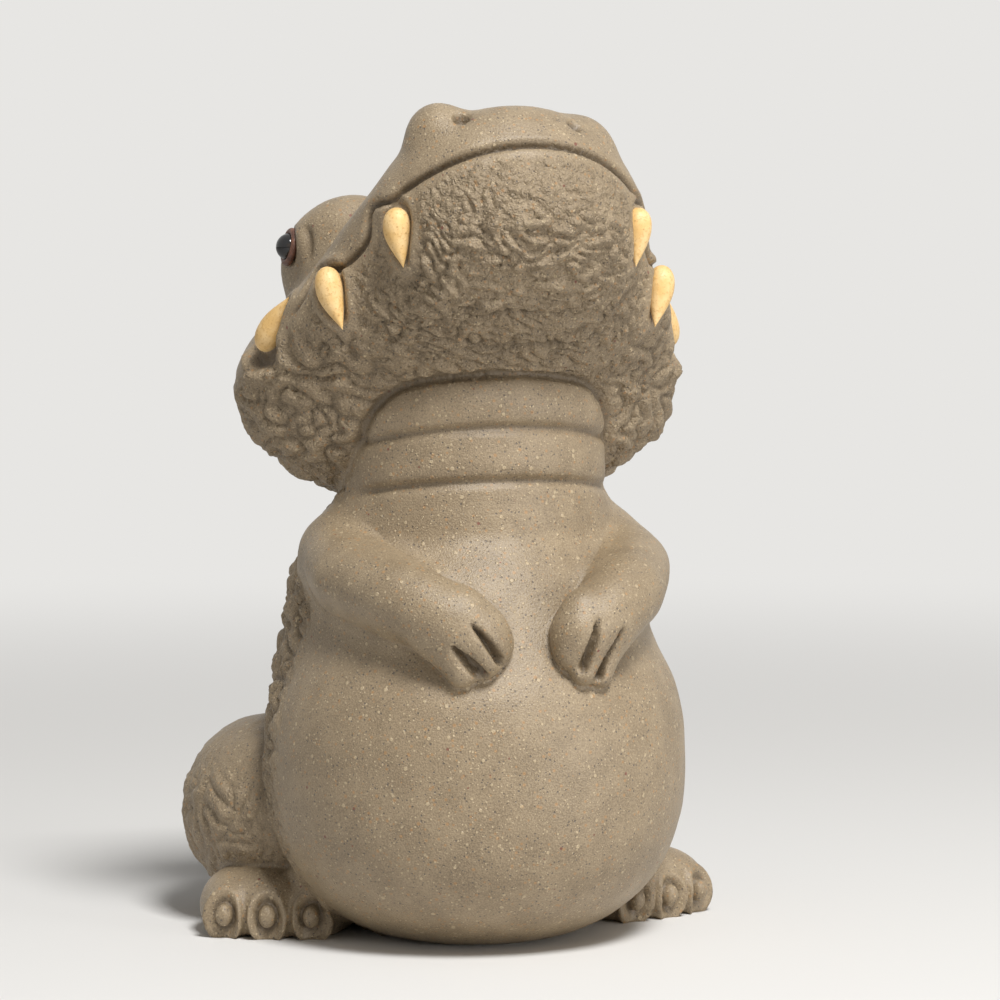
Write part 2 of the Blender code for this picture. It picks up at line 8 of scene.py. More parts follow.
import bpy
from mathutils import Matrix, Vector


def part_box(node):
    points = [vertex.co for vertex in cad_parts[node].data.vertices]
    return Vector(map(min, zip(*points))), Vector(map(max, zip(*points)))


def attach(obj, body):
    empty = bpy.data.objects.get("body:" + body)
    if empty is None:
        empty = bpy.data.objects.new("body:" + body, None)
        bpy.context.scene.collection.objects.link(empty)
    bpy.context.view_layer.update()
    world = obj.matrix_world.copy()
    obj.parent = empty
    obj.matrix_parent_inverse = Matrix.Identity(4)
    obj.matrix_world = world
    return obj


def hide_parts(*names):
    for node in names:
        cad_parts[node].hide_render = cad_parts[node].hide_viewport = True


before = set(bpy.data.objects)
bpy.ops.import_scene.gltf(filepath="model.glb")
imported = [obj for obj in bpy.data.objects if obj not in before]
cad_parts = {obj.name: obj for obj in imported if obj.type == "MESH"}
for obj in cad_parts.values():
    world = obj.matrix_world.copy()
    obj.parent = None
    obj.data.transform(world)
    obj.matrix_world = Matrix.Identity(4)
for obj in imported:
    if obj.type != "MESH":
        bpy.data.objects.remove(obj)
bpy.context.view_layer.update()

import itertools
import math

import bpy
import numpy as np
from mathutils import Matrix, Vector

MM = 0.001
SIDES = {"left": 1, "right": -1}

# The belly's axis, found from the tail's tip
TAIL_TIP_BEHIND = 41.2
AXIS = np.array((0.0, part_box("body")[1].y / MM - TAIL_TIP_BEHIND, 0.0))

# The shell
WALL = 3.5
VENT_RADIUS = 4.0
PASSAGE_RADIUS = 7.3

# The trunk
BELLY_RADIUS, BELLY_RISE, BELLY_MIDDLE, BELLY_SQUARENESS = 21.8, 19.0, 18.2, 2.45
CHEST_RADII, CHEST_AHEAD, CHEST_RISE = (15.0, 13.0, 12.0), 3.0, 14.6
BACK_RADII, BACK_BEHIND, BACK_RISE, BACK_SQUARENESS = (18.6, 14.0, 15.0), 4.5, 14.6, 2.2
RUMP_RADII, RUMP_BACK, RUMP_HEIGHT = (17.0, 13.0, 14.0), 11.0, 12.0

# The neck's folds
NECK_RADII, NECK_BACK, NECK_RISE = (13.3, 12.0), 0.4, 24.0
FOLD_HEIGHTS = (6.0, 5.4, 6.6)
FOLD_TILTS = (math.radians(9), math.radians(13), math.radians(17))
FOLD_OVERLAP, FOLD_SQUARENESS = 0.8, 3.0

# The head, laid back. Its places are out to the side, back from the lip and up from the mouth
HEAD_PITCH = math.radians(42)
THROAT, THROAT_INSET, THROAT_SINK = (21.4, -9.5), 1.1, 1.4
JAW_RADII, JAW_SQUARENESS = (13.9, 17.0, 9.8), 2.4
CHEEK_RADII, CHEEK_BACK = (21.0, 18.0, 9.6), 28.0
JOWL_RADII, JOWL_BACK = (23.7, 12.5, 13.0), 35.3
LIP_RADII, LIP_UP = (16.4, 19.2, 6.0), 2.4
SNOUT_RADII, SNOUT_UP = (11.7, 10.5, 6.2), 4.7
SKULL_RADII, SKULL_BACK, SKULL_UP, SKULL_SQUARENESS = (17.0, 14.5, 10.8), 29.0, 3.4, 2.3
BROW_RADII, BROW_PLACE = (6.6, 8.4, 4.8), (11.6, 28.0, 11.2)
NOSTRIL_RADIUS = 3.2
NOSTRIL_PLACES = {-1: (7.5, 4.6, 6.9), 1: (7.1, 5.2, 5.7)}
NOSTRIL_FACING = (-0.35, -0.82, 0.42)
NOSTRIL_BORE, NOSTRIL_DEPTH = 1.1, 1.0

# The mouth's groove, and how it dips behind the lip and rises over the upper teeth
MOUTH_UP, MOUTH_SWEEP, MOUTH_STATIONS = 0.9, math.radians(112), 120
MOUTH_HALF_WIDTH, MOUTH_DEPTH = 0.38, 0.85
MOUTH_DIP = 1.2
LIP_WAVES = ((10.0, 1.8), (19.0, 2.2))
LIP_WAVE_REACH = 1.6

# Teeth: back and up from the mouth, width, length, lean of the upper end, and whether the tip is up
TEETH = {
    "front": (9.4, -2.4, 2.8, 6.0, math.radians(2), False),
    "middle": (18.7, -2.3, 2.8, 6.6, math.radians(16), False),
    "back": (26.6, 1.4, 2.8, 7.0, math.radians(-26), True),
}
TOOTH_PROUD, TOOTH_TAPER, TOOTH_BEND = 0.25, 1.25, 0.85
TOOTH_BEND_SPAN, TOOTH_LIFT_SPAN, UNDER_TOOTH = (0.2, -1.4), (0.4, -1.0), 4

# Eyes: the seat under each ring, and the lid ahead of it between a foot and a top
BEAD_RADIUS, EYE_SUNK, EYE_FACING = 1.4, 0.3, (0.97, -0.14, 0.2)
RING_MIDDLE, RING_THICK = 1.62, 0.38
SEAT_DEPTH, SEAT_EDGE = 0.35, (2.4, 1.8)
LID_WAY, LID_AHEAD = (0, -0.9, 0.45), (-0.3, 0.8)
LID_TOP, LID_FADE, LID_FOOT = 2.6, 1.2, (-2.2, -0.4)

# Arms, round the belly in degrees from the front, beyond its radius and above its middle
ARM_RADIUS, HAND_RADIUS, FINGER_RADII = 3.8, 3.2, {-1: 1.55, 1: 1.3}
ARM_PATH = ((92, -7.2, 21.8), (68, -5.6, 19.9), (41, -3.9, 18.1), (26, -2.8, 16.2), (16.5, -2.4, 14.6))
FINGER_PATHS = {
    -1: (
        ((20.0, -2.2, 17.4), (11.0, -2.9, 13.5)),
        ((24.0, -2.0, 15.7), (14.6, -2.0, 12.0)),
        ((29.5, -2.0, 14.3), (20.8, -1.7, 11.1)),
    ),
    1: (
        ((15.0, -2.3, 17.4), (11.2, -2.2, 12.5)),
        ((20.0, -2.0, 15.8), (14.8, -1.5, 10.8)),
        ((28.0, -2.0, 14.6), (20.6, -1.5, 10.4)),
    ),
}
SLIT_PATHS = {
    -1: (((18.4, 16.5), (9.4, 11.9)), ((23.8, 14.1), (14.4, 10.5))),
    1: (((16.2, 16.6), (12.6, 10.8)), ((24.0, 15.6), (17.6, 9.8))),
}
SLIT_DEPTH, SLIT_HALF_WIDTHS = 1.3, {-1: (0.42, 0.55), 1: (0.46, 0.40)}

# Legs and tail
THIGH_RADII, THIGH_BEHIND, THIGH_INSET, THIGH_HEIGHT = (9.4, 13.0, 10.0), 16.0, 4.4, 11.5
FOOT_TURN, FOOT_RADII, FOOT_BEHIND = math.radians(24), (7.2, 9.0, 6.4), 11.5
FOREFOOT_RADII, FOREFOOT_REACH, FOREFOOT_HEIGHT = (7.4, 5.7, 3.9), 5.0, 2.8
TOE_RADII, TOE_REACH, TOE_SPACING, TOE_HEIGHT = (2.8, 6.0, 3.4), 5.4, 4.6, 2.7
NAIL_RADII, NAIL_UP, NAIL_DOME = (1.25, 1.75), -0.3, 0.4
TAIL_PATH = ((12.0, 13.0, 11.5), (22.0, 8.6, 8.8), (31.0, 4.8, 5.4), (38.5, 2.5, 2.9))

# How softly the masses run into each other
TRUNK_SOFT, TAIL_SOFT, FOLD_SOFT, NECK_SOFT = 4.5, 3.5, 3.6, 3.2
HEAD_SOFT, BROW_SOFT, NOSTRIL_SOFT, THROAT_SOFT = 2.8, 2.6, 1.8, 0.5
SHOULDER_SOFT, ARM_SOFT, FINGER_SOFT, KNUCKLE_SOFT = 3.0, 0.5, 1.8, 0.8
THIGH_SOFT, FOOT_SOFT, TOE_SOFT, GROUND_SOFT = 0.9, 1.2, 2.6, 0.5

# The crinkled hide: the size of a lump out to the side, back and up, and its depth
JAW_LUMP, JAW_DEPTH = (2.2, 1.2, 1.2), 1.4
BACK_LUMP, BACK_DEPTH = (2.3, 2.3, 2.0), 1.25
HIDE_OCTAVES, HIDE_SHARPNESS, HIDE_LEVEL = (0.8, 0.2), 0.65, 0.42

# Where the hide starts and where it is full: off the mouth and teeth, down from the mouth, back on
# the head, and in degrees from the front
OFF_MOUTH, OFF_TEETH, BELOW_MOUTH, ON_NAPE = (0.7, 2.0), (0.7, 1.9), (0.8, -0.9), (34, 41)
ROUND_TRUNK, ROUND_NECK, ROUND_SHOULDERS, ROUND_THROAT = (80, 92), (75, 105), (115, 95), (120, 80)

# The jaw's long creases: place back, reach to the side and depth
JAW_CREASES, JAW_CREASE_WIDTH = ((12.6, 8.5, 0.5), (17.2, 10.0, 0.3)), 0.35
CHIN_HEIGHT = 0.3

# Ridges and grooves of the skin: height or depth, where they lie, and width
LIP_ROLL, COLLAR, TOOTH_CREASE = (0.1, 0.9, 0.4), (0.3, 0.75, 0.5), (0.35, 0.05, 0.22)
POCKET_RIM, POCKET_HOLE = (0.7, 3.4, 0.9), (0.9, 1.8, 0.65)
LID, LID_CREASE = (0.25, 2.7, 0.8), (0.45, 3.9, 0.45)
NAIL_RIM, NAIL_GROOVE = (0.85, 1.4, 0.22), (0.75, 0.95, 0.22)
FOLD_GROOVE, TOE_CREASE = (0.6, 0, 0.5), (0.3, 0, 0.4)

# Seams under the limbs: the parts that meet, and the seam's depth and width
SEAMS = (("hands", "trunk", 0.22, 0.3), ("thighs", "trunk", 0.3, 0.4), ("feet", "thighs", 0.4, 0.5))
HAND_MADE = 0.06

# How fine the skin is
COARSE_VOXEL, FINE_VOXEL, HOLLOW_VOXEL = 0.5, 0.27, 1.2
SKIN_TRIANGLES = 176000

# Colours
CLAY_DARK, CLAY_LIGHT = (0.205, 0.152, 0.092), (0.355, 0.272, 0.172)
# Painted shade, mixed into the clay where the skin is sunk in creases and hollows
PAINTED_CREVICE_SHADE = (0.085, 0.060, 0.034)
PALE_GRAIN, ORANGE_GRAIN = (0.62, 0.49, 0.31), (0.42, 0.22, 0.08)
DARK_GRAIN, RED_GRAIN = (0.045, 0.045, 0.05), (0.16, 0.03, 0.02)
TOOTH_CLAY, TOOTH_SHADE, TOOTH_PALE = (0.74, 0.47, 0.175), (0.52, 0.29, 0.085), (0.82, 0.57, 0.27)
RING_CLAY, RING_SHADE = (0.165, 0.070, 0.040), (0.085, 0.034, 0.020)
GLAZE_BLACK, GLAZE_BROWN = (0.010, 0.010, 0.011), (0.028, 0.018, 0.012)
FLOOR_PALE, BACKDROP_PALE = (0.74, 0.73, 0.71), (0.80, 0.79, 0.77)

# The clay's grains: spacing, radius, the share of cells that hold one, where their net falls, their
# colour and its strength
CLAY_GRAINS = {
    "pale": (0.42, 0.09, 0.6, 11.0, PALE_GRAIN, 0.55),
    "dark": (0.40, 0.085, 0.5, 37.0, DARK_GRAIN, 0.6),
    "orange": (0.66, 0.14, 0.6, 23.0, ORANGE_GRAIN, 0.5),
    "large_pale": (1.0, 0.17, 0.5, 91.0, PALE_GRAIN, 0.5),
    "red": (1.9, 0.14, 0.35, 53.0, RED_GRAIN, 0.75),
}


def length_of(vectors):
    """The length of each vector of an array."""
    return np.sqrt((vectors * vectors).sum(-1))


def unit(vectors):
    """Each vector of an array, at length one."""
    vectors = np.asarray(vectors, float)
    return vectors / length_of(vectors)[..., None]


def ease(low, high, values):
    """0 below low, 1 above high and a smooth rise between them."""
    share = np.clip((values - low) / (high - low), 0, 1)
    return share * share * (3 - 2 * share)


def hump(values, width):
    """A bell: 1 at zero, falling as e to the minus square of values over width."""
    return np.exp(-((values / width) ** 2))


def ridge(values, height, middle, width):
    """A bell of a height where values come to middle."""
    return height * hump(values - middle, width)


def lean_back(angle):
    """The turn about the side-to-side axis that lifts the front by an angle."""
    c, s = math.cos(angle), math.sin(angle)
    return np.array(((1, 0, 0), (0, c, s), (0, -s, c)))


def turn_out(angle):
    """The turn about the upright axis by an angle."""
    c, s = math.cos(angle), math.sin(angle)
    return np.array(((c, -s, 0), (s, c, 0), (0, 0, 1)))


def mirrored(place, side):
    """A place or direction of the figure's left, or the same on its right."""
    return np.array((side * place[0], place[1], place[2]))


class Ball:
    """A round mass: round in plan, and in height a curve of the power squareness."""

    def __init__(self, centre, radii, squareness=2.0, turn=None):
        self.centre = np.array(centre, float)
        self.radii = np.array(radii, float)
        self.squareness = squareness
        self.turn = np.eye(3) if turn is None else turn

    def shrunk(self, wall):
        """The same mass, drawn in all round by a wall."""
        return Ball(self.centre, self.radii - wall, self.squareness, self.turn)

    def rows(self, around=48, rings=34):
        """The surface for a turn u and a fall v: the unit ball's point divided by the power mean of
        its plan radius and its height, times the radii."""
        u = np.linspace(0, 2 * math.pi, around, endpoint=False)[None, :]
        v = np.linspace(0, math.pi, rings)[1:-1, None]
        round_part, rise = np.sin(v) + 0 * u, np.cos(v) + 0 * u
        mean = (round_part**self.squareness + np.abs(rise) ** self.squareness) ** (1 / self.squareness)
        unit_ball = np.stack((round_part * np.cos(u), round_part * np.sin(u), rise), -1) / mean[..., None]
        return unit_ball * self.radii @ self.turn.T + self.centre

    def distance(self, points):
        """The power mean of the plan radius and the height, in shares of the radii, less one, divided
        by the length of its slope. Points further off than a few millimetres are only told apart."""
        found = np.full(len(points), 1e3)
        near = length_of(points - self.centre) < self.radii.max() + 9
        local = (points[near] - self.centre) @ self.turn
        share = local / self.radii
        plan = np.hypot(share[:, 0], share[:, 1]) + 1e-9
        rise = np.abs(share[:, 2]) + 1e-9
        power = self.squareness
        mean = (plan**power + rise**power) ** (1 / power)
        by_plan = (plan / mean) ** (power - 1)
        by_rise = (rise / mean) ** (power - 1)
        plan_slope = np.hypot(share[:, 0] / self.radii[0], share[:, 1] / self.radii[1]) / plan
        slope = np.hypot(by_plan * plan_slope, by_rise / self.radii[2])
        found[near] = (mean - 1) / slope
        return found


class Limb:
    """A round limb along a smooth curve through a few places, with round ends."""

    def __init__(self, places, radii):
        self.path, share = smooth_path(np.array(places, float))
        self.radii = np.interp(share, np.arange(len(radii)), radii)

    def rows(self):
        """A circle carried along the path, drawn in as a half ball at each end: at an angle a before
        the end its radius is the sine of a and its place the cosine of a beyond the end."""
        along = unit(np.gradient(self.path, axis=0))
        angles = np.linspace(0, math.pi / 2, 7)[1:-1]
        first, last = along[0], along[-1]
        opening = self.path[0] - first * np.cos(angles)[:, None] * self.radii[0]
        closing = self.path[-1] + last * np.cos(angles[::-1])[:, None] * self.radii[-1]
        middles = np.concatenate((opening, self.path, closing))
        end_widths = np.sin(angles) * self.radii[0], np.sin(angles[::-1]) * self.radii[-1]
        widths = np.concatenate((end_widths[0], self.radii, end_widths[1]))
        ways = np.concatenate((np.tile(first, (5, 1)), along, np.tile(last, (5, 1))))
        return carried(middles, ways, widths, 28)

    def distance(self, points):
        """The distance from the nearest stretch of the path, less the limb's radius there."""
        return gap_to(points, self.path, self.radii, self.radii.max() + 9)[0]


def carried(middles, ways, widths, around):
    """A circle of each width round each middle, square to each way."""
    across = unit(np.cross(ways, (0.31, 0.17, 0.93)))
    over = np.cross(ways, across)
    turn = np.linspace(0, 2 * math.pi, around, endpoint=False)[None, :, None]
    circle = across[:, None] * np.cos(turn) + over[:, None] * np.sin(turn)
    return middles[:, None] + circle * widths[:, None, None]


def smooth_path(places, steps=6):
    """A Catmull-Rom curve through the places, and how many places along it each point is."""
    padded = np.concatenate((2 * places[:1] - places[1:2], places, 2 * places[-1:] - places[-2:-1]))
    before, start, end, after = padded[:-3], padded[1:-2], padded[2:-1], padded[3:]
    t = (np.arange(steps) / steps)[None, :, None]
    bend = (2 * before - 5 * start + 4 * end - after)[:, None]
    swing = (3 * start - before - 3 * end + after)[:, None]
    curve = start[:, None] + ((end - before)[:, None] + bend * t + swing * t * t) * t / 2
    points = np.concatenate((curve.reshape(-1, 3), places[-1:]))
    return points, np.linspace(0, len(places) - 1, len(points))


def path_distance(points, path, radii):
    """For each point the least of its distance from each stretch of a path less the radius there, and
    how far along the path, from 0 to 1, it lies."""
    nearest = np.full(len(points), 1e3)
    along = np.zeros(len(points))
    for index in range(len(path) - 1):
        stretch = path[index + 1] - path[index]
        share = np.clip((points - path[index]) @ stretch / (stretch @ stretch), 0, 1)
        radius = radii[index] + share * (radii[index + 1] - radii[index])
        distance = length_of(points - path[index] - share[:, None] * stretch) - radius
        closer = distance < nearest
        nearest = np.where(closer, distance, nearest)
        along = np.where(closer, (index + share) / (len(path) - 1), along)
    return nearest, along


def gap_to(points, path, radii=None, reach=4.0):
    """The distance from a path and how far along it, for the points within reach of its box."""
    radii = np.zeros(len(path)) if radii is None else radii
    near = ((points > path.min(0) - reach) & (points < path.max(0) + reach)).all(1)
    gap, along = np.full(len(points), 1e3), np.zeros(len(points))
    gap[near], along[near] = path_distance(points[near], path, radii)
    return gap, along


def blend(one, other, soft):
    """The lesser of two distances, rounded over where they differ by less than soft: the lesser, less
    a quarter of soft times the square of how near they are."""
    near = np.clip(1 - np.abs(one - other) / soft, 0, 1)
    return np.minimum(one, other) - near * near * soft / 4


def blended(points, masses, soft):
    """The distance from several masses run into each other."""
    distance = masses[0].distance(points)
    for mass in masses[1:]:
        distance = blend(distance, mass.distance(points), soft)
    return distance


def round_belly(degrees, beyond, rise, side=1):
    """A place round the belly's axis, from the front."""
    angle = math.radians(degrees)
    reach = BELLY_RADIUS + beyond
    return np.array((side * reach * math.sin(angle), -reach * math.cos(angle), BELLY_MIDDLE + rise))


NECK_TOP = BELLY_MIDDLE + NECK_RISE + sum(FOLD_HEIGHTS)
THROAT_PLACE = np.array((0, NECK_BACK - NECK_RADII[1] + THROAT_INSET, NECK_TOP - THROAT_SINK))
HEAD_TURN = lean_back(HEAD_PITCH)


def on_head(side, back, up):
    """A place on the head: out to the side, back from the lip and up from the mouth."""
    return THROAT_PLACE + HEAD_TURN @ np.array((side, back - THROAT[0], up - THROAT[1]))


def from_head(points):
    """How far points lie out to the side, back from the lip and up from the mouth."""
    return (points - THROAT_PLACE) @ HEAD_TURN + (0, THROAT[0], THROAT[1])


def trunk_masses():
    """The belly, chest, back and rump."""
    belly_radii = (BELLY_RADIUS, BELLY_RADIUS, BELLY_RISE)
    return [
        Ball((0, 0, BELLY_MIDDLE), belly_radii, BELLY_SQUARENESS),
        Ball((0, -CHEST_AHEAD, BELLY_MIDDLE + CHEST_RISE), CHEST_RADII),
        Ball((0, BACK_BEHIND, BELLY_MIDDLE + BACK_RISE), BACK_RADII, BACK_SQUARENESS),
        Ball((0, RUMP_BACK, RUMP_HEIGHT), RUMP_RADII),
    ]


def neck_masses():
    """The three folds of the neck, each tilted further back than the one below it."""
    feet = BELLY_MIDDLE + NECK_RISE + np.cumsum((0, *FOLD_HEIGHTS[:-1]))
    masses = []
    for foot, height, angle in zip(feet, FOLD_HEIGHTS, FOLD_TILTS):
        front = np.array((0, NECK_BACK - NECK_RADII[1], foot + height / 2))
        middle = front + lean_back(angle) @ np.array((0, NECK_RADII[1], 0))
        radii = (*NECK_RADII, height / 2 + FOLD_OVERLAP)
        masses.append(Ball(middle, radii, FOLD_SQUARENESS, lean_back(angle)))
    return masses


def head_masses():
    """The jaw, cheeks, jowls, lip, skull and snout."""
    return [
        Ball(on_head(0, JAW_RADII[1], 0), JAW_RADII, JAW_SQUARENESS, HEAD_TURN),
        Ball(on_head(0, CHEEK_BACK, 0), CHEEK_RADII, turn=HEAD_TURN),
        Ball(on_head(0, JOWL_BACK, 0), JOWL_RADII),
        Ball(on_head(0, LIP_RADII[1], LIP_UP), LIP_RADII, turn=HEAD_TURN),
        Ball(on_head(0, SKULL_BACK, SKULL_UP), SKULL_RADII, SKULL_SQUARENESS, HEAD_TURN),
        Ball(on_head(0, SNOUT_RADII[1], SNOUT_UP), SNOUT_RADII, turn=HEAD_TURN),
    ]


def foot_place(side):
    """The middle of one foot, on the ground."""
    return np.array((side * (BELLY_RADIUS - THIGH_INSET), FOOT_BEHIND, 0))


def toe_places(side):
    """The middle of each toe of one foot."""
    steps = [np.array((step * TOE_SPACING, -TOE_REACH, TOE_HEIGHT)) for step in (-1, 0, 1)]
    return [foot_place(side) + turn_out(side * FOOT_TURN) @ step for step in steps]


def thigh_mass(side):
    """One thigh."""
    return Ball((side * (BELLY_RADIUS - THIGH_INSET), THIGH_BEHIND, THIGH_HEIGHT), THIGH_RADII)


def toe_masses(side):
    """The toes of one foot."""
    return [Ball(place, TOE_RADII, turn=turn_out(side * FOOT_TURN)) for place in toe_places(side)]


def forearm_mass(side):
    """One lower arm and hand."""
    radii = [ARM_RADIUS, ARM_RADIUS, ARM_RADIUS, HAND_RADIUS]
    return Limb([round_belly(*place, side) for place in ARM_PATH[1:]], radii)


def foot_masses(side):
    """The heel of one foot, and the block that its toes stand out of."""
    turn = turn_out(side * FOOT_TURN)
    forefoot = foot_place(side) + turn @ np.array((0, -FOREFOOT_REACH, FOREFOOT_HEIGHT))
    return [Ball(foot_place(side), FOOT_RADII, turn=turn), Ball(forefoot, FOREFOOT_RADII, turn=turn)]


def finger_masses(side):
    """The fingers of one hand."""
    paths = [[round_belly(*place, side) for place in finger] for finger in FINGER_PATHS[side]]
    return [Limb(path, [FINGER_RADII[side]] * 2) for path in paths]


BOTH = tuple(SIDES.values())
TRUNK = trunk_masses()
NECK = neck_masses()
HEAD = head_masses()
BROWS = [Ball(on_head(*mirrored(BROW_PLACE, side)), BROW_RADII, turn=HEAD_TURN) for side in BOTH]
NOSTRILS = [Ball(on_head(*mirrored(NOSTRIL_PLACES[side], side)), [NOSTRIL_RADIUS] * 3) for side in BOTH]
SHOULDERS = [Limb([round_belly(*place, side) for place in ARM_PATH[:3]], [ARM_RADIUS] * 3) for side in BOTH]
FOREARMS = [forearm_mass(side) for side in BOTH]
FINGERS = finger_masses(1) + finger_masses(-1)
THIGHS = [thigh_mass(side) for side in BOTH]
FEET = foot_masses(1) + foot_masses(-1)
TOES = toe_masses(1) + toe_masses(-1)
TAIL = [Limb([(0, behind, height) for behind, height, _ in TAIL_PATH], [part[2] for part in TAIL_PATH])]
MASSES = TRUNK + NECK + HEAD + BROWS + NOSTRILS + SHOULDERS
MASSES += FOREARMS + FINGERS + THIGHS + FEET + TOES + TAIL

# How softly each part runs into the trunk and the parts before it
JOINS = {"tail": TAIL_SOFT, "shoulders": SHOULDER_SOFT, "neck": NECK_SOFT, "head": THROAT_SOFT}
JOINS.update({"hands": ARM_SOFT, "thighs": THIGH_SOFT, "feet": FOOT_SOFT})


def parts_of(points):
    """The distance of points from each part of the figure."""
    head = blended(points, HEAD, HEAD_SOFT)
    head = blend(head, blended(points, BROWS, BROW_SOFT), BROW_SOFT)
    head = blend(head, blended(points, NOSTRILS, NOSTRIL_SOFT), NOSTRIL_SOFT)
    hands = blended(points, FOREARMS, ARM_SOFT)
    hands = blend(hands, blended(points, FINGERS, KNUCKLE_SOFT), FINGER_SOFT)
    feet = blend(blended(points, FEET, FOOT_SOFT), blended(points, TOES, TOE_SOFT), TOE_SOFT)
    return {
        "trunk": blended(points, TRUNK, TRUNK_SOFT),
        "tail": TAIL[0].distance(points),
        "neck": blended(points, NECK, FOLD_SOFT),
        "head": head,
        "shoulders": blended(points, SHOULDERS, SHOULDER_SOFT),
        "hands": hands,
        "thighs": blended(points, THIGHS, THIGH_SOFT),
        "feet": feet,
    }


def clay(points):
    """The distance of points from the whole figure's skin, cut flat by the ground."""
    parts = parts_of(points)
    distance = parts["trunk"]
    for name, soft in JOINS.items():
        distance = blend(distance, parts[name], soft)
    return -blend(-distance, points[:, 2], GROUND_SOFT)


def slope_of(points, step=0.03):
    """The distance at points, and its slope from three neighbours a short step off."""
    here = clay(points)
    slope = np.stack([clay(points + step * axis) - here for axis in np.eye(3)], 1) / step
    return here, slope


def drawn_on(points, rounds):
    """Points moved down the slope onto the skin, a few times over."""
    for _ in range(rounds):
        here, slope = slope_of(points)
        steep = np.maximum((slope * slope).sum(1), 0.2)
        points = points - slope * (np.clip(here, -0.8, 0.8) / steep)[:, None]
    return points


def cast(inside, outward):
    """Where straight lines from inside places leave the clay for the last time, by halving."""
    inside = np.atleast_2d(inside)
    outward = np.broadcast_to(unit(np.atleast_2d(outward)), inside.shape)
    steps = np.linspace(0, 90, 260)
    spread = inside[:, None] + outward[:, None] * steps[None, :, None]
    within = clay(spread.reshape(-1, 3)).reshape(len(inside), -1) < 0
    last = within.shape[1] - 1 - np.argmax(within[:, ::-1], 1)
    low, high = steps[last], steps[np.minimum(last + 1, len(steps) - 1)]
    for _ in range(14):
        middle = (low + high) / 2
        filled = clay(inside + outward * middle[:, None]) < 0
        low, high = np.where(filled, middle, low), np.where(filled, high, middle)
    return inside + outward * low[:, None]


def noise(points, seed):
    """Gradient noise, about -1 to 1: every whole-number corner of space has a random direction, and a
    point takes each corner's direction dotted with its own offset, mixed by a smooth weight."""
    random = np.random.default_rng(seed)
    order = random.permutation(256)
    ways = unit(random.normal(size=(256, 3)))
    cell = np.floor(points).astype(np.int64)
    offset = points - cell
    weight = offset**3 * (offset * (offset * 6 - 15) + 10)
    total = np.zeros(len(points))
    for corner in itertools.product((0, 1), repeat=3):
        x, y, z = ((cell + corner) & 255).T
        way = ways[order[(order[(order[x] + y) & 255] + z) & 255]]
        share = np.where(np.array(corner) == 1, weight, 1 - weight).prod(1)
        total += share * (way * (offset - corner)).sum(1)
    return total * 1.7


def crinkle(points, size, seed):
    """The height of crinkled hide: two sizes of the noise's own size without its sign, so that sharp
    creases lie where it passes through zero, each on places that a slower noise has pushed about."""
    slow = points / (2.2 * np.array(size))
    pushed = points + 0.55 * np.array(size) * np.stack([noise(slow, seed + i) for i in range(3)], 1)
    height = np.zeros(len(points))
    for octave, share in enumerate(HIDE_OCTAVES):
        scaled = pushed * (1 + 0.9 * octave) / size + 17.3 * octave
        height += share * np.abs(noise(scaled, seed + 5 + octave)) ** HIDE_SHARPNESS
    return height - HIDE_LEVEL


class Spot:
    """A place on the skin with its own facing, and its upward and sideways directions along the skin."""

    def __init__(self, inside, outward, upward=(0, 0, 1)):
        self.place = cast(inside, outward)[0]
        self.facing = unit(slope_of(self.place[None])[1])[0]
        self.up = unit(np.array(upward, float) - self.facing * (self.facing @ np.array(upward, float)))
        self.across = np.cross(self.up, self.facing)

    def seen(self, points):
        """How far points lie across, up and out from the spot."""
        local = points - self.place
        return local @ self.across, local @ self.up, local @ self.facing


class Tooth:
    """A drop of clay on a spot of the skin: its axis, bent forward a little at the tip and lifted
    there onto the skin, and its radii."""

    def __init__(self, back, up, width, length, lean, tip_up, side):
        upward = np.array((0, math.sin(lean), math.cos(lean))) * (-1 if tip_up else 1)
        self.spot = Spot(on_head(0, back, up), (side, 0, 0), upward)
        angles = np.linspace(0, math.pi, 26)
        swell = np.sin(angles) * np.cos(angles / 2) ** TOOTH_TAPER
        fall = np.cos(angles)
        bend = TOOTH_BEND * ease(*TOOTH_BEND_SPAN, fall)
        seat = self.spot.place + self.spot.facing * TOOTH_PROUD
        forward = unit(np.cross(self.spot.facing, self.spot.up)) * side * (-1 if tip_up else 1)
        self.path = seat + np.outer(fall * length / 2, self.spot.up) + np.outer(bend, forward)
        facing = self.spot.facing
        under_tip = cast(self.path[-1] - UNDER_TOOTH * facing, facing)[0]
        lift = max((under_tip - self.path[-1]) @ facing, 0)
        self.path += np.outer(lift * ease(*TOOTH_LIFT_SPAN, fall), facing)
        self.radii = width / 2 * swell / swell.max()
        self.fat_end = self.path[5]

    def rows(self):
        """A circle carried down the axis, its radius the sine of the fall times a power of the cosine
        of half the fall."""
        ways = np.tile(self.spot.up, (len(self.path) - 2, 1))
        return carried(self.path[1:-1], ways, self.radii[1:-1], 28)


class Eye:
    """The middle of a bead sunk in a brow, and the way that it faces."""

    def __init__(self, side):
        self.spot = Spot(on_head(*mirrored(BROW_PLACE, side)), mirrored(EYE_FACING, side))
        self.middle = self.spot.place - self.spot.facing * EYE_SUNK

    def ring_rows(self):
        """A circle carried round a circle about the bead."""
        turn = np.linspace(0, 2 * math.pi, 48, endpoint=False)[:, None]
        outward = self.spot.across * np.cos(turn) + self.spot.up * np.sin(turn)
        middles = self.middle + outward * RING_MIDDLE
        tube = np.linspace(0, 2 * math.pi, 20, endpoint=False)[None, :, None]
        circle = outward[:, None] * np.cos(tube) + self.spot.facing * np.sin(tube)
        return middles[:, None] + circle * RING_THICK


TOOTH_SET = {
    (row, word): Tooth(*measures, side) for row, measures in TEETH.items() for word, side in SIDES.items()
}
EYE_SET = {word: Eye(side) for word, side in SIDES.items()}


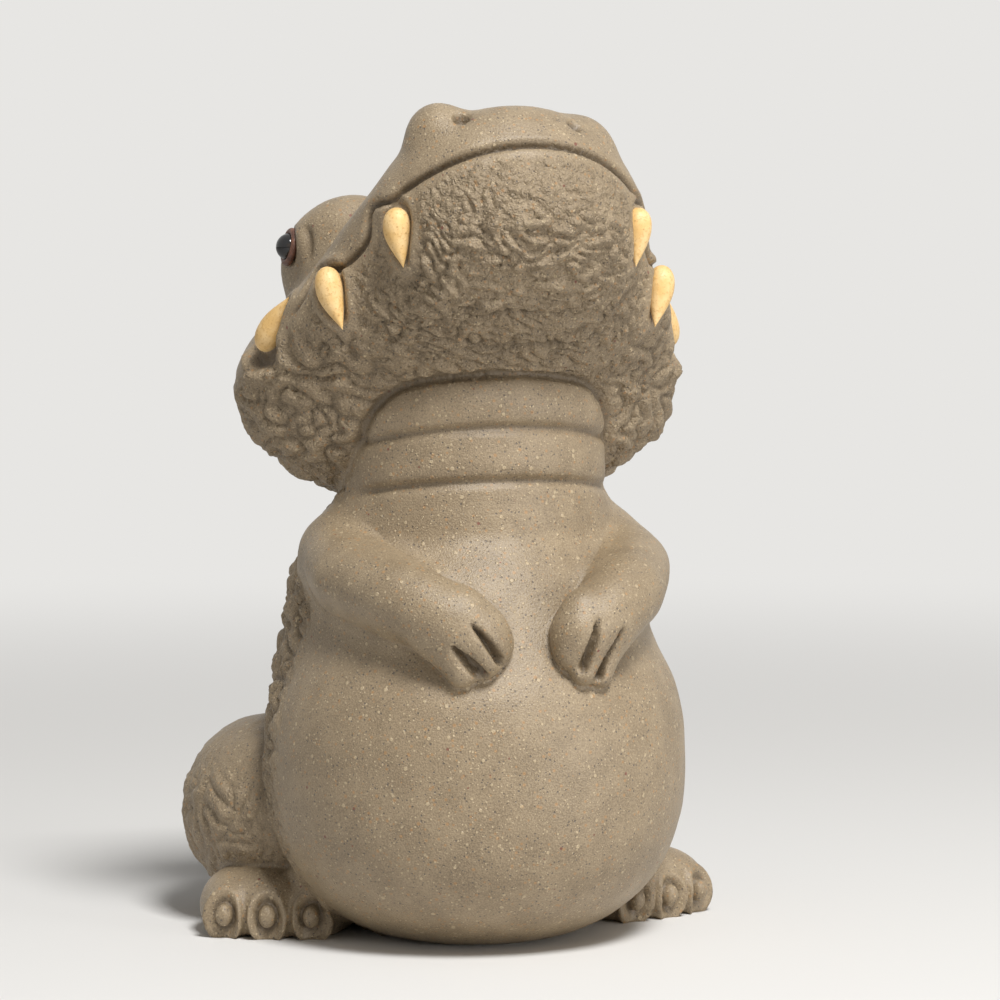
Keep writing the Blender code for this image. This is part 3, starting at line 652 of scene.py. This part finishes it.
class Skin:
    """Points on the smooth skin, with all that the carving asks of them."""

    def __init__(self, points):
        self.points = points
        self.parts = parts_of(points)
        self.side, self.back, self.up = from_head(points).T
        self.round_angle = np.degrees(np.abs(np.arctan2(points[:, 0], -points[:, 1])))
        nearest = np.min([self.parts[name] for name in self.parts], 0)
        self.margin = {name: ease(0.9, 0.1, self.parts[name] - nearest) for name in self.parts}
        self.mouth_gap, self.mouth_along = gap_to(points, mouth_path(), reach=7.0)
        self.tooth_gap = np.full(len(points), 1e3)
        for tooth in TOOTH_SET.values():
            self.tooth_gap = np.minimum(self.tooth_gap, gap_to(points, tooth.path, tooth.radii)[0])

    def seam(self, one, other, width):
        """1 in the crease where two parts meet, and 0 where neither of them is near."""
        near = ease(2.4, 0.8, np.minimum(self.parts[one], self.parts[other]))
        return near * hump(self.parts[one] - self.parts[other], width)


def mouth_path():
    """The mouth's groove round the head: level at the lip, lower behind it, and raised by a bell over
    each upper tooth."""
    middle = on_head(0, JAW_RADII[1], 0)
    angles = np.linspace(-MOUTH_SWEEP, MOUTH_SWEEP, MOUTH_STATIONS)
    outward = np.stack((np.sin(angles), -np.cos(angles), 0 * angles), 1) @ HEAD_TURN.T
    level = cast(np.tile(middle, (len(angles), 1)), outward)
    back = from_head(level)[:, 1]
    rise = MOUTH_UP - MOUTH_DIP * ease(6, 12, back)
    rise += sum(height * hump(back - tooth, LIP_WAVE_REACH) for tooth, height in LIP_WAVES)
    lifted = middle + rise[:, None] * HEAD_TURN[:, 2]
    return cast(lifted, outward)


def slit_path(ends, side):
    """A groove between two fingers, round the belly's axis."""
    (start_angle, start_rise), (end_angle, end_rise) = ends
    share = np.linspace(0, 1, 9)
    degrees = start_angle + share * (end_angle - start_angle)
    rises = start_rise + share * (end_rise - start_rise)
    outer = np.array([round_belly(angle, 0, rise, side) for angle, rise in zip(degrees, rises)])
    middle = outer * (0, 0, 1)
    return cast(middle, outer - middle)


def hide_cover(skin):
    """Where the clay is crinkled hide, from 0 to 1: under and behind the mouth, on the flanks and back,
    the thighs and the tail. The front, the neck's folds, the arms and the feet are smooth."""
    margin = skin.margin
    under_mouth = ease(*OFF_MOUTH, skin.mouth_gap) * ease(*BELOW_MOUTH, skin.up)
    nape = ease(*ON_NAPE, skin.back)
    head = margin["head"] * np.maximum(under_mouth, nape) * ease(*OFF_TEETH, skin.tooth_gap)
    trunk = np.maximum(margin["trunk"], margin["tail"]) * ease(*ROUND_TRUNK, skin.round_angle)
    neck = margin["neck"] * ease(*ROUND_NECK, skin.round_angle)
    thighs = margin["thighs"] * (0.15 + 0.5 * ease(20, 12, skin.points[:, 2]))
    shoulders = margin["shoulders"] * ease(*ROUND_SHOULDERS, skin.round_angle)
    throat = skin.seam("neck", "head", 0.6) * ease(*ROUND_THROAT, skin.round_angle)
    creases = np.maximum(skin.seam("thighs", "trunk", 0.7), skin.seam("feet", "thighs", 0.7))
    smooth_parts = np.maximum.reduce((margin["hands"], margin["feet"], shoulders, throat, creases))
    return np.maximum.reduce((head, trunk, neck, thighs)) * (1 - smooth_parts)


def hide_form(skin, cover):
    """The crinkled hide, finer and drawn out sideways on the jaw, with two long creases across it,
    and the chin's raised block."""
    tilted = from_head(skin.points)
    tilted[:, 1] -= 0.14 * tilted[:, 0]
    jaw = crinkle(tilted, JAW_LUMP, 11)
    coarse = crinkle(skin.points, BACK_LUMP, 29)
    on_jaw = ease(0.8, 0.2, skin.parts["head"]) * ease(30, 22, skin.back + 0.4 * np.abs(skin.side))
    depth = JAW_DEPTH * (0.45 + 0.55 * ease(2, 9, skin.mouth_gap))
    form = cover * (on_jaw * jaw * depth + (1 - on_jaw) * coarse * BACK_DEPTH)
    wander = 0.9 * noise(skin.points / (5, 3, 3), 61)
    for back, reach, crease in JAW_CREASES:
        shown = cover * on_jaw * ease(reach, reach - 3, np.abs(skin.side))
        form -= crease * shown * hump(skin.back - back - wander, JAW_CREASE_WIDTH)
    block = ease(11.3, 10.3, np.abs(skin.side)) * ease(0.6, -1.4, skin.up) * ease(17, 11, skin.back)
    return form + CHIN_HEIGHT * block * skin.margin["head"]


def mouth_form(skin):
    """The mouth's groove, fading at its ends, and the soft roll of the lip above it."""
    shown = ease(0.0, 0.05, skin.mouth_along) * ease(1.0, 0.95, skin.mouth_along)
    groove = ease(MOUTH_HALF_WIDTH * 1.3, MOUTH_HALF_WIDTH * 0.25, skin.mouth_gap)
    return shown * (ridge(skin.mouth_gap, *LIP_ROLL) - MOUTH_DEPTH * groove)


def tooth_form(skin):
    """A low collar of clay round each tooth, a thin crease against it, and under each back tooth a
    pocket with a rolled rim."""
    collar = ridge(skin.tooth_gap, *COLLAR)
    pocket = np.zeros(len(skin.points))
    for word in SIDES:
        local = skin.points - TOOTH_SET["back", word].fat_end
        away = length_of(local)
        below = ease(1.0, -1.0, local @ np.array((0, 0.25, 0.97)))
        collar *= 1 - below * ease(4, 3, away)
        pocket += below * (ridge(away, *POCKET_RIM) - ridge(away, *POCKET_HOLE))
    return collar + pocket - ridge(skin.tooth_gap, *TOOTH_CREASE)


def eye_form(skin):
    """A seat for each ring, a fold of lid in front of it and the crease round that fold."""
    form = np.zeros(len(skin.points))
    for eye in EYE_SET.values():
        local = skin.points - eye.middle
        away, rise = length_of(local), local[:, 2]
        ahead = ease(*LID_AHEAD, local @ unit(LID_WAY))
        shown = ahead * ease(LID_TOP, LID_TOP - LID_FADE, rise) * ease(*LID_FOOT, rise)
        form -= SEAT_DEPTH * ease(*SEAT_EDGE, away)
        form += ridge(away, *LID) * shown
        form -= ridge(away, *LID_CREASE) * shown
    return form


def nostril_form(skin):
    """A round hole in each nostril."""
    form = np.zeros(len(skin.points))
    for side in BOTH:
        hole = Spot(on_head(*mirrored(NOSTRIL_PLACES[side], side)), mirrored(NOSTRIL_FACING, side))
        form -= NOSTRIL_DEPTH * ease(NOSTRIL_BORE, 0.3 * NOSTRIL_BORE, length_of(skin.points - hole.place))
    return form


def hand_form(skin):
    """Crisp slits between the fingers, pointed at their upper ends."""
    form = np.zeros(len(skin.points))
    for side in BOTH:
        for ends, half_width in zip(SLIT_PATHS[side], SLIT_HALF_WIDTHS[side]):
            gap, along = gap_to(skin.points, slit_path(ends, side))
            width = half_width * (0.35 + 0.65 * ease(0.0, 0.6, along)) * ease(1.0, 0.93, along) + 0.05
            form -= SLIT_DEPTH * ease(0.0, 0.25, along) * ease(width * 1.35, width * 0.35, gap)
    return form


def foot_form(skin):
    """Faint creases between the toes, and on each toe a domed nail in an oval groove with a rim."""
    form = np.zeros(len(skin.points))
    for side in BOTH:
        toes = [toe.distance(skin.points) for toe in toe_masses(side)]
        for one, other in zip(toes, toes[1:]):
            shown = ease(1.6, 0.6, np.minimum(one, other)) * skin.margin["feet"]
            form -= ridge(one - other, *TOE_CREASE) * shown
        forward = turn_out(side * FOOT_TURN) @ np.array((0, -1, 0))
        for toe in toe_places(side):
            nail = Spot(toe + (0, 0, NAIL_UP), forward)
            across, rise, out = nail.seen(skin.points)
            ring = np.hypot(across / NAIL_RADII[0], rise / NAIL_RADII[1])
            dome = NAIL_DOME * np.clip(1 - 1.6 * ring * ring, 0, 1)
            rim = ridge(ring, *NAIL_RIM) * ease(4.4, -1.6, rise)
            groove = ridge(ring, *NAIL_GROOVE)
            form += np.where((np.abs(out) < 2.5) & (ring < 2.2), dome + rim - groove, 0)
    return form


def crease_form(skin):
    """The shadow lines where the parts meet and between the neck's folds, and the unevenness of clay
    worked by hand."""
    under_jaw = skin.seam("neck", "head", 0.4) * ease(100, 60, skin.round_angle)
    form = -0.7 * under_jaw
    for one, other, depth, width in SEAMS:
        form -= depth * skin.seam(one, other, width)
    folds = [fold.distance(skin.points) for fold in NECK]
    for one, other in zip(folds, folds[1:]):
        shown = ease(1.6, 0.7, np.minimum(one, other)) * skin.margin["neck"]
        shown = shown * ease(90, 65, skin.round_angle)
        form -= ridge(one - other, *FOLD_GROOVE) * shown
    return form + HAND_MADE * noise(skin.points / 3.6, 71)


def carve(points):
    """Every fine form of the skin as heights along its slope, and the slope's facing."""
    skin = Skin(points)
    cover = hide_cover(skin)
    height = hide_form(skin, cover) + mouth_form(skin) + tooth_form(skin) + eye_form(skin)
    height += nostril_form(skin) + hand_form(skin) + foot_form(skin) + crease_form(skin)
    return height, unit(slope_of(points)[1])


def put_mesh(name, points, faces):
    """A smooth mesh object from points in millimetres from the belly's axis."""
    mesh = bpy.data.meshes.new(name)
    mesh.from_pydata(((points + AXIS) * MM).tolist(), [], faces)
    mesh.shade_smooth()
    thing = bpy.data.objects.new(name, mesh)
    bpy.context.scene.collection.objects.link(thing)
    return thing


def quads_of(count, around):
    """The faces of a grid of rings, each joined to the next."""
    row, column = np.meshgrid(np.arange(count - 1), np.arange(around), indexing="ij")
    after = (column + 1) % around
    below = (row + 1) * around
    above = row * around
    corners = (above + column, below + column, below + after, above + after)
    return np.stack(corners, -1).reshape(-1, 4).tolist()


def closed_skin(rows):
    """Points and faces of a closed grid: rows of a ring each, and a fan to the middle of either end."""
    count, around = rows.shape[:2]
    points = np.concatenate((rows.reshape(-1, 3), rows[:1].mean(1), rows[-1:].mean(1)))
    ring, after = np.arange(around), (np.arange(around) + 1) % around
    first = np.stack((np.full(around, count * around), ring, after), 1)
    last_row = (count - 1) * around
    last = np.stack((np.full(around, count * around + 1), last_row + after, last_row + ring), 1)
    return points, quads_of(count, around) + first.tolist() + last.tolist()


def looped_skin(rows):
    """Points and faces of rings that join up in a loop."""
    count, around = rows.shape[:2]
    faces = np.array(quads_of(count + 1, around)) % (count * around)
    return rows.reshape(-1, 3), faces.tolist()


def heap(name, masses):
    """Overlapping closed grids in one mesh."""
    points, faces, count = [], [], 0
    for mass in masses:
        own, own_faces = closed_skin(mass.rows())
        points.append(own)
        faces += [[corner + count for corner in face] for face in own_faces]
        count += len(own)
    return put_mesh(name, np.concatenate(points), faces)


def applied(thing):
    """Turn an object's modifiers into its mesh."""
    mesh = bpy.data.meshes.new_from_object(thing.evaluated_get(bpy.context.evaluated_depsgraph_get()))
    old = thing.data
    thing.modifiers.clear()
    thing.data = mesh
    bpy.data.meshes.remove(old)


def remeshed(thing, voxel):
    """One even skin round everything in an object."""
    merge = thing.modifiers.new("Merge", "REMESH")
    merge.mode = "VOXEL"
    merge.voxel_size = voxel * MM
    applied(thing)


def points_of(thing):
    """An object's points in millimetres from the belly's axis."""
    flat = np.empty(len(thing.data.vertices) * 3, np.float32)
    thing.data.vertices.foreach_get("co", flat)
    return flat.reshape(-1, 3).astype(float) / MM - AXIS


def set_points(thing, points):
    """Give an object its points back."""
    thing.data.vertices.foreach_set("co", ((points + AXIS) * MM).astype(np.float32).ravel())
    thing.data.update()


def make_skin():
    """The clay: masses run together, drawn onto the smooth distance twice, then carved and thinned."""
    skin = heap("clay_body", MASSES)
    remeshed(skin, COARSE_VOXEL)
    set_points(skin, drawn_on(points_of(skin), 3))
    remeshed(skin, FINE_VOXEL)
    points = drawn_on(points_of(skin), 2)
    height, facing = carve(points)
    points = points + facing * height[:, None]
    points[:, 2] = np.maximum(points[:, 2], 0)
    set_points(skin, points)
    thin = skin.modifiers.new("Thin", "DECIMATE")
    thin.ratio = min(1.0, SKIN_TRIANGLES / (2 * len(skin.data.polygons)))
    applied(skin)
    return skin


def make_hollow():
    """The hollow: the trunk's and head's masses drawn in by the wall, and a passage up the neck."""
    middles = [(0, 0, BELLY_MIDDLE), (0, NECK_BACK, NECK_TOP), on_head(0, JOWL_BACK, 0)]
    passage = Limb(middles, [PASSAGE_RADIUS] * 3)
    hollow = heap("hollow", [mass.shrunk(WALL) for mass in TRUNK + HEAD] + [passage])
    remeshed(hollow, HOLLOW_VOXEL)
    points = points_of(hollow)
    points[:, 2] = np.maximum(points[:, 2], WALL)
    set_points(hollow, points)
    return hollow


def make_vent():
    """The round hole through the base: a circle carried up from below the ground into the hollow."""
    heights = np.linspace(-1, WALL + 2, 4)
    middles = np.stack((0 * heights, 0 * heights, heights), 1)
    ways = np.tile((0.0, 0.0, 1.0), (4, 1))
    return put_mesh("vent", *closed_skin(carried(middles, ways, np.full(4, VENT_RADIUS), 64)))


def cut(thing, tool):
    """Cut one closed mesh out of another, and remove it."""
    hole = thing.modifiers.new("Cut", "BOOLEAN")
    hole.operation = "DIFFERENCE"
    hole.solver = "MANIFOLD"
    hole.object = tool
    applied(thing)
    bpy.data.objects.remove(tool)


def mark_skin(thing):
    """Note on every point how far it lies under the smooth skin, which the clay's colour turns into painted
    shade, and how much it is hide.
    """
    skin = Skin(points_of(thing))
    sunk = np.clip(-clay(skin.points), -1, 1)
    for name, values in (("sunk", sunk), ("hide", hide_cover(skin))):
        marks = thing.data.attributes.new(name, "FLOAT", "POINT")
        marks.data.foreach_set("value", values.astype(np.float32))


class Term:
    """A socket of a material's nodes. Sums with it add Math nodes, and node() adds any other."""

    def __init__(self, tree, socket=None):
        self.tree = tree
        self.socket = socket

    def node(self, kind, settings, sockets, output=0):
        """A new node: its settings first, then the value or link of each of its sockets."""
        made = self.tree.nodes.new("ShaderNode" + kind)
        for name, value in settings.items():
            setattr(made, name, value)
        for name, value in sockets.items():
            if isinstance(value, Term):
                self.tree.links.new(value.socket, made.inputs[name])
            else:
                made.inputs[name].default_value = value
        return Term(self.tree, made.outputs[output])

    def sibling(self, output):
        """Another output of the same node."""
        return Term(self.tree, self.socket.node.outputs[output])

    def maths(self, operation, *values):
        """A Math node."""
        return self.node("Math", {"operation": operation}, dict(enumerate(values)))

    def __add__(self, other):
        return self.maths("ADD", self, other)

    def __sub__(self, other):
        return self.maths("SUBTRACT", self, other)

    def __mul__(self, other):
        return self.maths("MULTIPLY", self, other)

    def __truediv__(self, other):
        return self.maths("DIVIDE", self, other)

    __radd__ = __add__
    __rmul__ = __mul__

    def eased(self, low, high):
        """0 at low, 1 at high and a smooth rise between them."""
        sockets = {"Value": self, "From Min": low, "From Max": high}
        return self.node("MapRange", {"interpolation_type": "SMOOTHSTEP"}, sockets)

    def mixed(self, one, other):
        """One colour where this is 0 and the other where it is 1."""
        colours = {6: one, 7: other}
        for key, value in colours.items():
            colours[key] = value if isinstance(value, Term) else (*value, 1)
        return self.node("Mix", {"data_type": "RGBA"}, {0: self, **colours}, 2)


class Finish:
    """A material with its shader, the place on the object in millimetres, and patterns of that place."""

    def __init__(self, name):
        self.material = bpy.data.materials.new(name)
        self.material.use_nodes = True
        tree = self.material.node_tree
        self.shader = tree.nodes["Principled BSDF"]
        self.start = Term(tree)
        place = self.start.node("TexCoord", {}, {}, "Object")
        self.place = self.start.node("VectorMath", {"operation": "SCALE"}, {0: place, "Scale": 1 / MM})

    def mark(self, name):
        """A value noted on the piece's points."""
        return self.start.node("Attribute", {"attribute_name": name}, {}, "Fac")

    def moved(self, shift):
        """The place, moved so that a second pattern falls elsewhere."""
        sockets = {0: self.place, 1: (shift, shift, shift)}
        return self.start.node("VectorMath", {"operation": "ADD"}, sockets)

    def cloud(self, size, detail=2.0, shift=0.0):
        """Soft patches of a size, about 0.3 to 0.7."""
        sockets = {"Vector": self.moved(shift), "Scale": 1 / size, "Detail": detail}
        return self.start.node("TexNoise", {}, sockets)

    def grains(self, spacing, radius, share, shift):
        """Round grains of mixed sizes in a share of the cells of a random net."""
        sockets = {"Vector": self.moved(shift), "Scale": 1 / spacing}
        away = self.start.node("TexVoronoi", {}, sockets)
        picked = self.start.node("SeparateColor", {}, {"Color": away.sibling("Color")})
        size = (0.6 + 0.8 * picked.sibling("Green")) * (radius / spacing)
        return (away / size).eased(1.15, 0.75) * picked.maths("LESS_THAN", picked, share)

    def wear(self, colour, roughness, height, depth):
        """Give the shader its colour, its roughness and the fine bumps of its surface."""
        sockets = {"Strength": 1.0, "Distance": depth * MM, "Height": height}
        bump = self.start.node("Bump", {}, sockets, "Normal")
        for name, value in (("Base Color", colour), ("Roughness", roughness), ("Normal", bump)):
            self.start.tree.links.new(value.socket, self.shader.inputs[name])
        return self.material


def stoneware():
    """Olive-brown clay full of pale, orange, dark and red grains, with painted shade where the skin is sunk
    in creases and hollows, and a little darker over the hide.
    """
    finish = Finish("stoneware")
    fine = finish.cloud(0.17, 2.0, 4.0)
    patches = finish.cloud(3.0, 4.0).eased(0.30, 0.70)
    colour = (patches * 0.35 + fine.eased(0.32, 0.68) * 0.65).mixed(CLAY_DARK, CLAY_LIGHT)
    found = {}
    for name, (*net, tint, strength) in CLAY_GRAINS.items():
        found[name] = finish.grains(*net)
        colour = (found[name] * strength).mixed(colour, tint)
    sunk = finish.mark("sunk").eased(0.0, 0.55)
    hide = finish.mark("hide")
    # Painted shade in creases and hollows, by how far the skin is sunk, and a little darker over the hide
    colour = (sunk * 0.6 + hide * 0.08).mixed(colour, PAINTED_CREVICE_SHADE)
    roughness = 0.36 + 0.16 * hide + 0.16 * fine
    folded = finish.cloud(1.1, 3.0, 71.0) - 0.5
    wrinkle = hide * folded.maths("ABSOLUTE", folded)
    height = 0.45 * fine + 0.22 * found["pale"] + 0.30 * found["large_pale"]
    height = height - 0.20 * found["dark"] + 7.0 * wrinkle
    return finish.wear(colour, roughness, height, 0.16)


def yellow_clay():
    """Matt yellow clay with fine pale and tan grains."""
    finish = Finish("yellow_clay")
    patches = finish.cloud(1.6, 3.0)
    fine = finish.cloud(0.25, 2.0, 9.0)
    colour = patches.eased(0.34, 0.66).mixed(TOOTH_CLAY, TOOTH_PALE)
    colour = (fine.eased(0.52, 0.70) * 0.55).mixed(colour, TOOTH_SHADE)
    specks = finish.grains(0.8, 0.11, 0.35, 21.0)
    colour = (specks * 0.6).mixed(colour, TOOTH_SHADE)
    return finish.wear(colour, 0.42 + 0.22 * fine, 0.7 * fine + 0.3 * specks, 0.07)


def brown_clay():
    """Red-brown clay with a darker mottle."""
    finish = Finish("brown_clay")
    patches = finish.cloud(0.9, 3.0)
    fine = finish.cloud(0.22, 2.0, 5.0)
    colour = patches.eased(0.36, 0.64).mixed(RING_CLAY, RING_SHADE)
    return finish.wear(colour, 0.38 + 0.2 * fine, fine, 0.05)


def black_glaze():
    """Glossy black glaze, a little brown where it is thin."""
    finish = Finish("black_glaze")
    patches = finish.cloud(1.2, 2.0)
    colour = patches.eased(0.45, 0.75).mixed(GLAZE_BLACK, GLAZE_BROWN)
    return finish.wear(colour, 0.05 + 0.05 * patches, patches, 0.02)


def dress(thing, node, material):
    """Put a piece in the place of a solid, with its material."""
    thing.data.materials.clear()
    thing.data.materials.append(material)
    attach(thing, "root")
    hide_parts(node)


def make_body():
    """The clay figure, hollow, with a vent under it."""
    body = make_skin()
    cut(body, make_hollow())
    cut(body, make_vent())
    mark_skin(body)
    body.data.shade_smooth()
    dress(body, "body", stoneware())


def make_teeth():
    """Six drops of yellow clay."""
    clay_of_teeth = yellow_clay()
    for (row, word), tooth in TOOTH_SET.items():
        drop = put_mesh(f"drop_{row}_{word}", *closed_skin(tooth.rows()))
        dress(drop, f"tooth_{row}_{word}", clay_of_teeth)


def make_eyes():
    """A black bead in a brown ring on each brow."""
    ring_clay, glaze = brown_clay(), black_glaze()
    for word, eye in EYE_SET.items():
        ring = put_mesh(f"ring_{word}", *looped_skin(eye.ring_rows()))
        dress(ring, f"eye_ring_{word}", ring_clay)
        ball = Ball(eye.middle, [BEAD_RADIUS] * 3)
        bead = put_mesh(f"bead_{word}", *closed_skin(ball.rows(40, 26)))
        dress(bead, f"eye_bead_{word}", glaze)


def make_floor():
    """A pale floor that fades into the backdrop far from the figure."""
    mesh = bpy.data.meshes.new("floor")
    mesh.from_pydata([(-4, -4, 0), (4, -4, 0), (4, 4, 0), (-4, 4, 0)], [], [(0, 1, 2, 3)])
    floor = bpy.data.objects.new("floor", mesh)
    bpy.context.scene.collection.objects.link(floor)
    finish = Finish("floor")
    finish.shader.inputs["Base Color"].default_value = (*FLOOR_PALE, 1)
    finish.shader.inputs["Roughness"].default_value = 0.9
    reach = finish.start.node("VectorMath", {"operation": "LENGTH"}, {0: finish.place}, "Value")
    seen = finish.start.node("LightPath", {}, {}, "Is Camera Ray")
    far = reach.eased(90, 420) * seen
    glow = finish.start.node("Emission", {}, {"Color": (*BACKDROP_PALE, 1), "Strength": 1.0})
    own = Term(finish.start.tree, finish.shader.outputs[0])
    shown = finish.start.node("MixShader", {}, {0: far, 1: own, 2: glow})
    output = finish.start.tree.nodes["Material Output"]
    finish.start.tree.links.new(shown.socket, output.inputs["Surface"])
    mesh.materials.append(finish.material)


def make_world():
    """Soft even light, and a pale backdrop for what the camera and the gloss see."""
    world = bpy.data.worlds.new("studio")
    bpy.context.scene.world = world
    world.use_nodes = True
    start = Term(world.node_tree)
    rays = start.node("LightPath", {}, {}, "Is Camera Ray")
    seen = rays.maths("MAXIMUM", rays, rays.sibling("Is Glossy Ray"))
    seen = seen.maths("MAXIMUM", seen, rays.sibling("Is Transmission Ray"))
    light = start.node("Background", {}, {"Color": (1.0, 0.98, 0.95, 1), "Strength": 0.22})
    backdrop = start.node("Background", {}, {"Color": (*BACKDROP_PALE, 1), "Strength": 1.0})
    shown = start.node("MixShader", {}, {0: seen, 1: light, 2: backdrop})
    world.node_tree.links.new(shown.socket, world.node_tree.nodes["World Output"].inputs["Surface"])


def make_lamp(name, place, size, power):
    """A soft square lamp that faces the figure's middle."""
    lamp = bpy.data.lights.new(name, "AREA")
    lamp.size = size
    lamp.energy = power
    thing = bpy.data.objects.new(name, lamp)
    thing.location = place
    thing.rotation_mode = "QUATERNION"
    thing.rotation_quaternion = (Vector(place) - Vector((0, 0, 0.045))).to_track_quat("Z", "Y")
    bpy.context.scene.collection.objects.link(thing)


def make_camera():
    """The photograph's view: a little from the figure's right, nearly level, with a long lens."""
    azimuth, elevation = math.radians(-17.5), math.radians(4)
    right = np.array((math.cos(azimuth), math.sin(azimuth), 0))
    level = np.array((math.sin(azimuth), -math.cos(azimuth), 0))
    toward = level * math.cos(elevation) + np.array((0, 0, math.sin(elevation)))
    upward = np.cross(toward, right)
    target = 2.6 * right + 44.85 * upward
    camera = bpy.data.objects.new("camera", bpy.data.cameras.new("camera"))
    camera.data.lens = 148.75
    camera.data.sensor_width = 36
    camera.matrix_world = Matrix(np.column_stack((right, upward, toward)).tolist()).to_4x4()
    camera.location = Vector(((target + 430 * toward + AXIS) * MM).tolist())
    bpy.context.scene.collection.objects.link(camera)
    bpy.context.scene.camera = camera


make_body()
make_teeth()
make_eyes()
make_floor()
make_world()
make_lamp("key", (0.05, -0.42, 0.64), 0.20, 6.2)
make_lamp("fill", (0.42, -0.55, 0.06), 0.16, 1.5)
make_camera()
bpy.context.scene.view_settings.view_transform = "Standard"
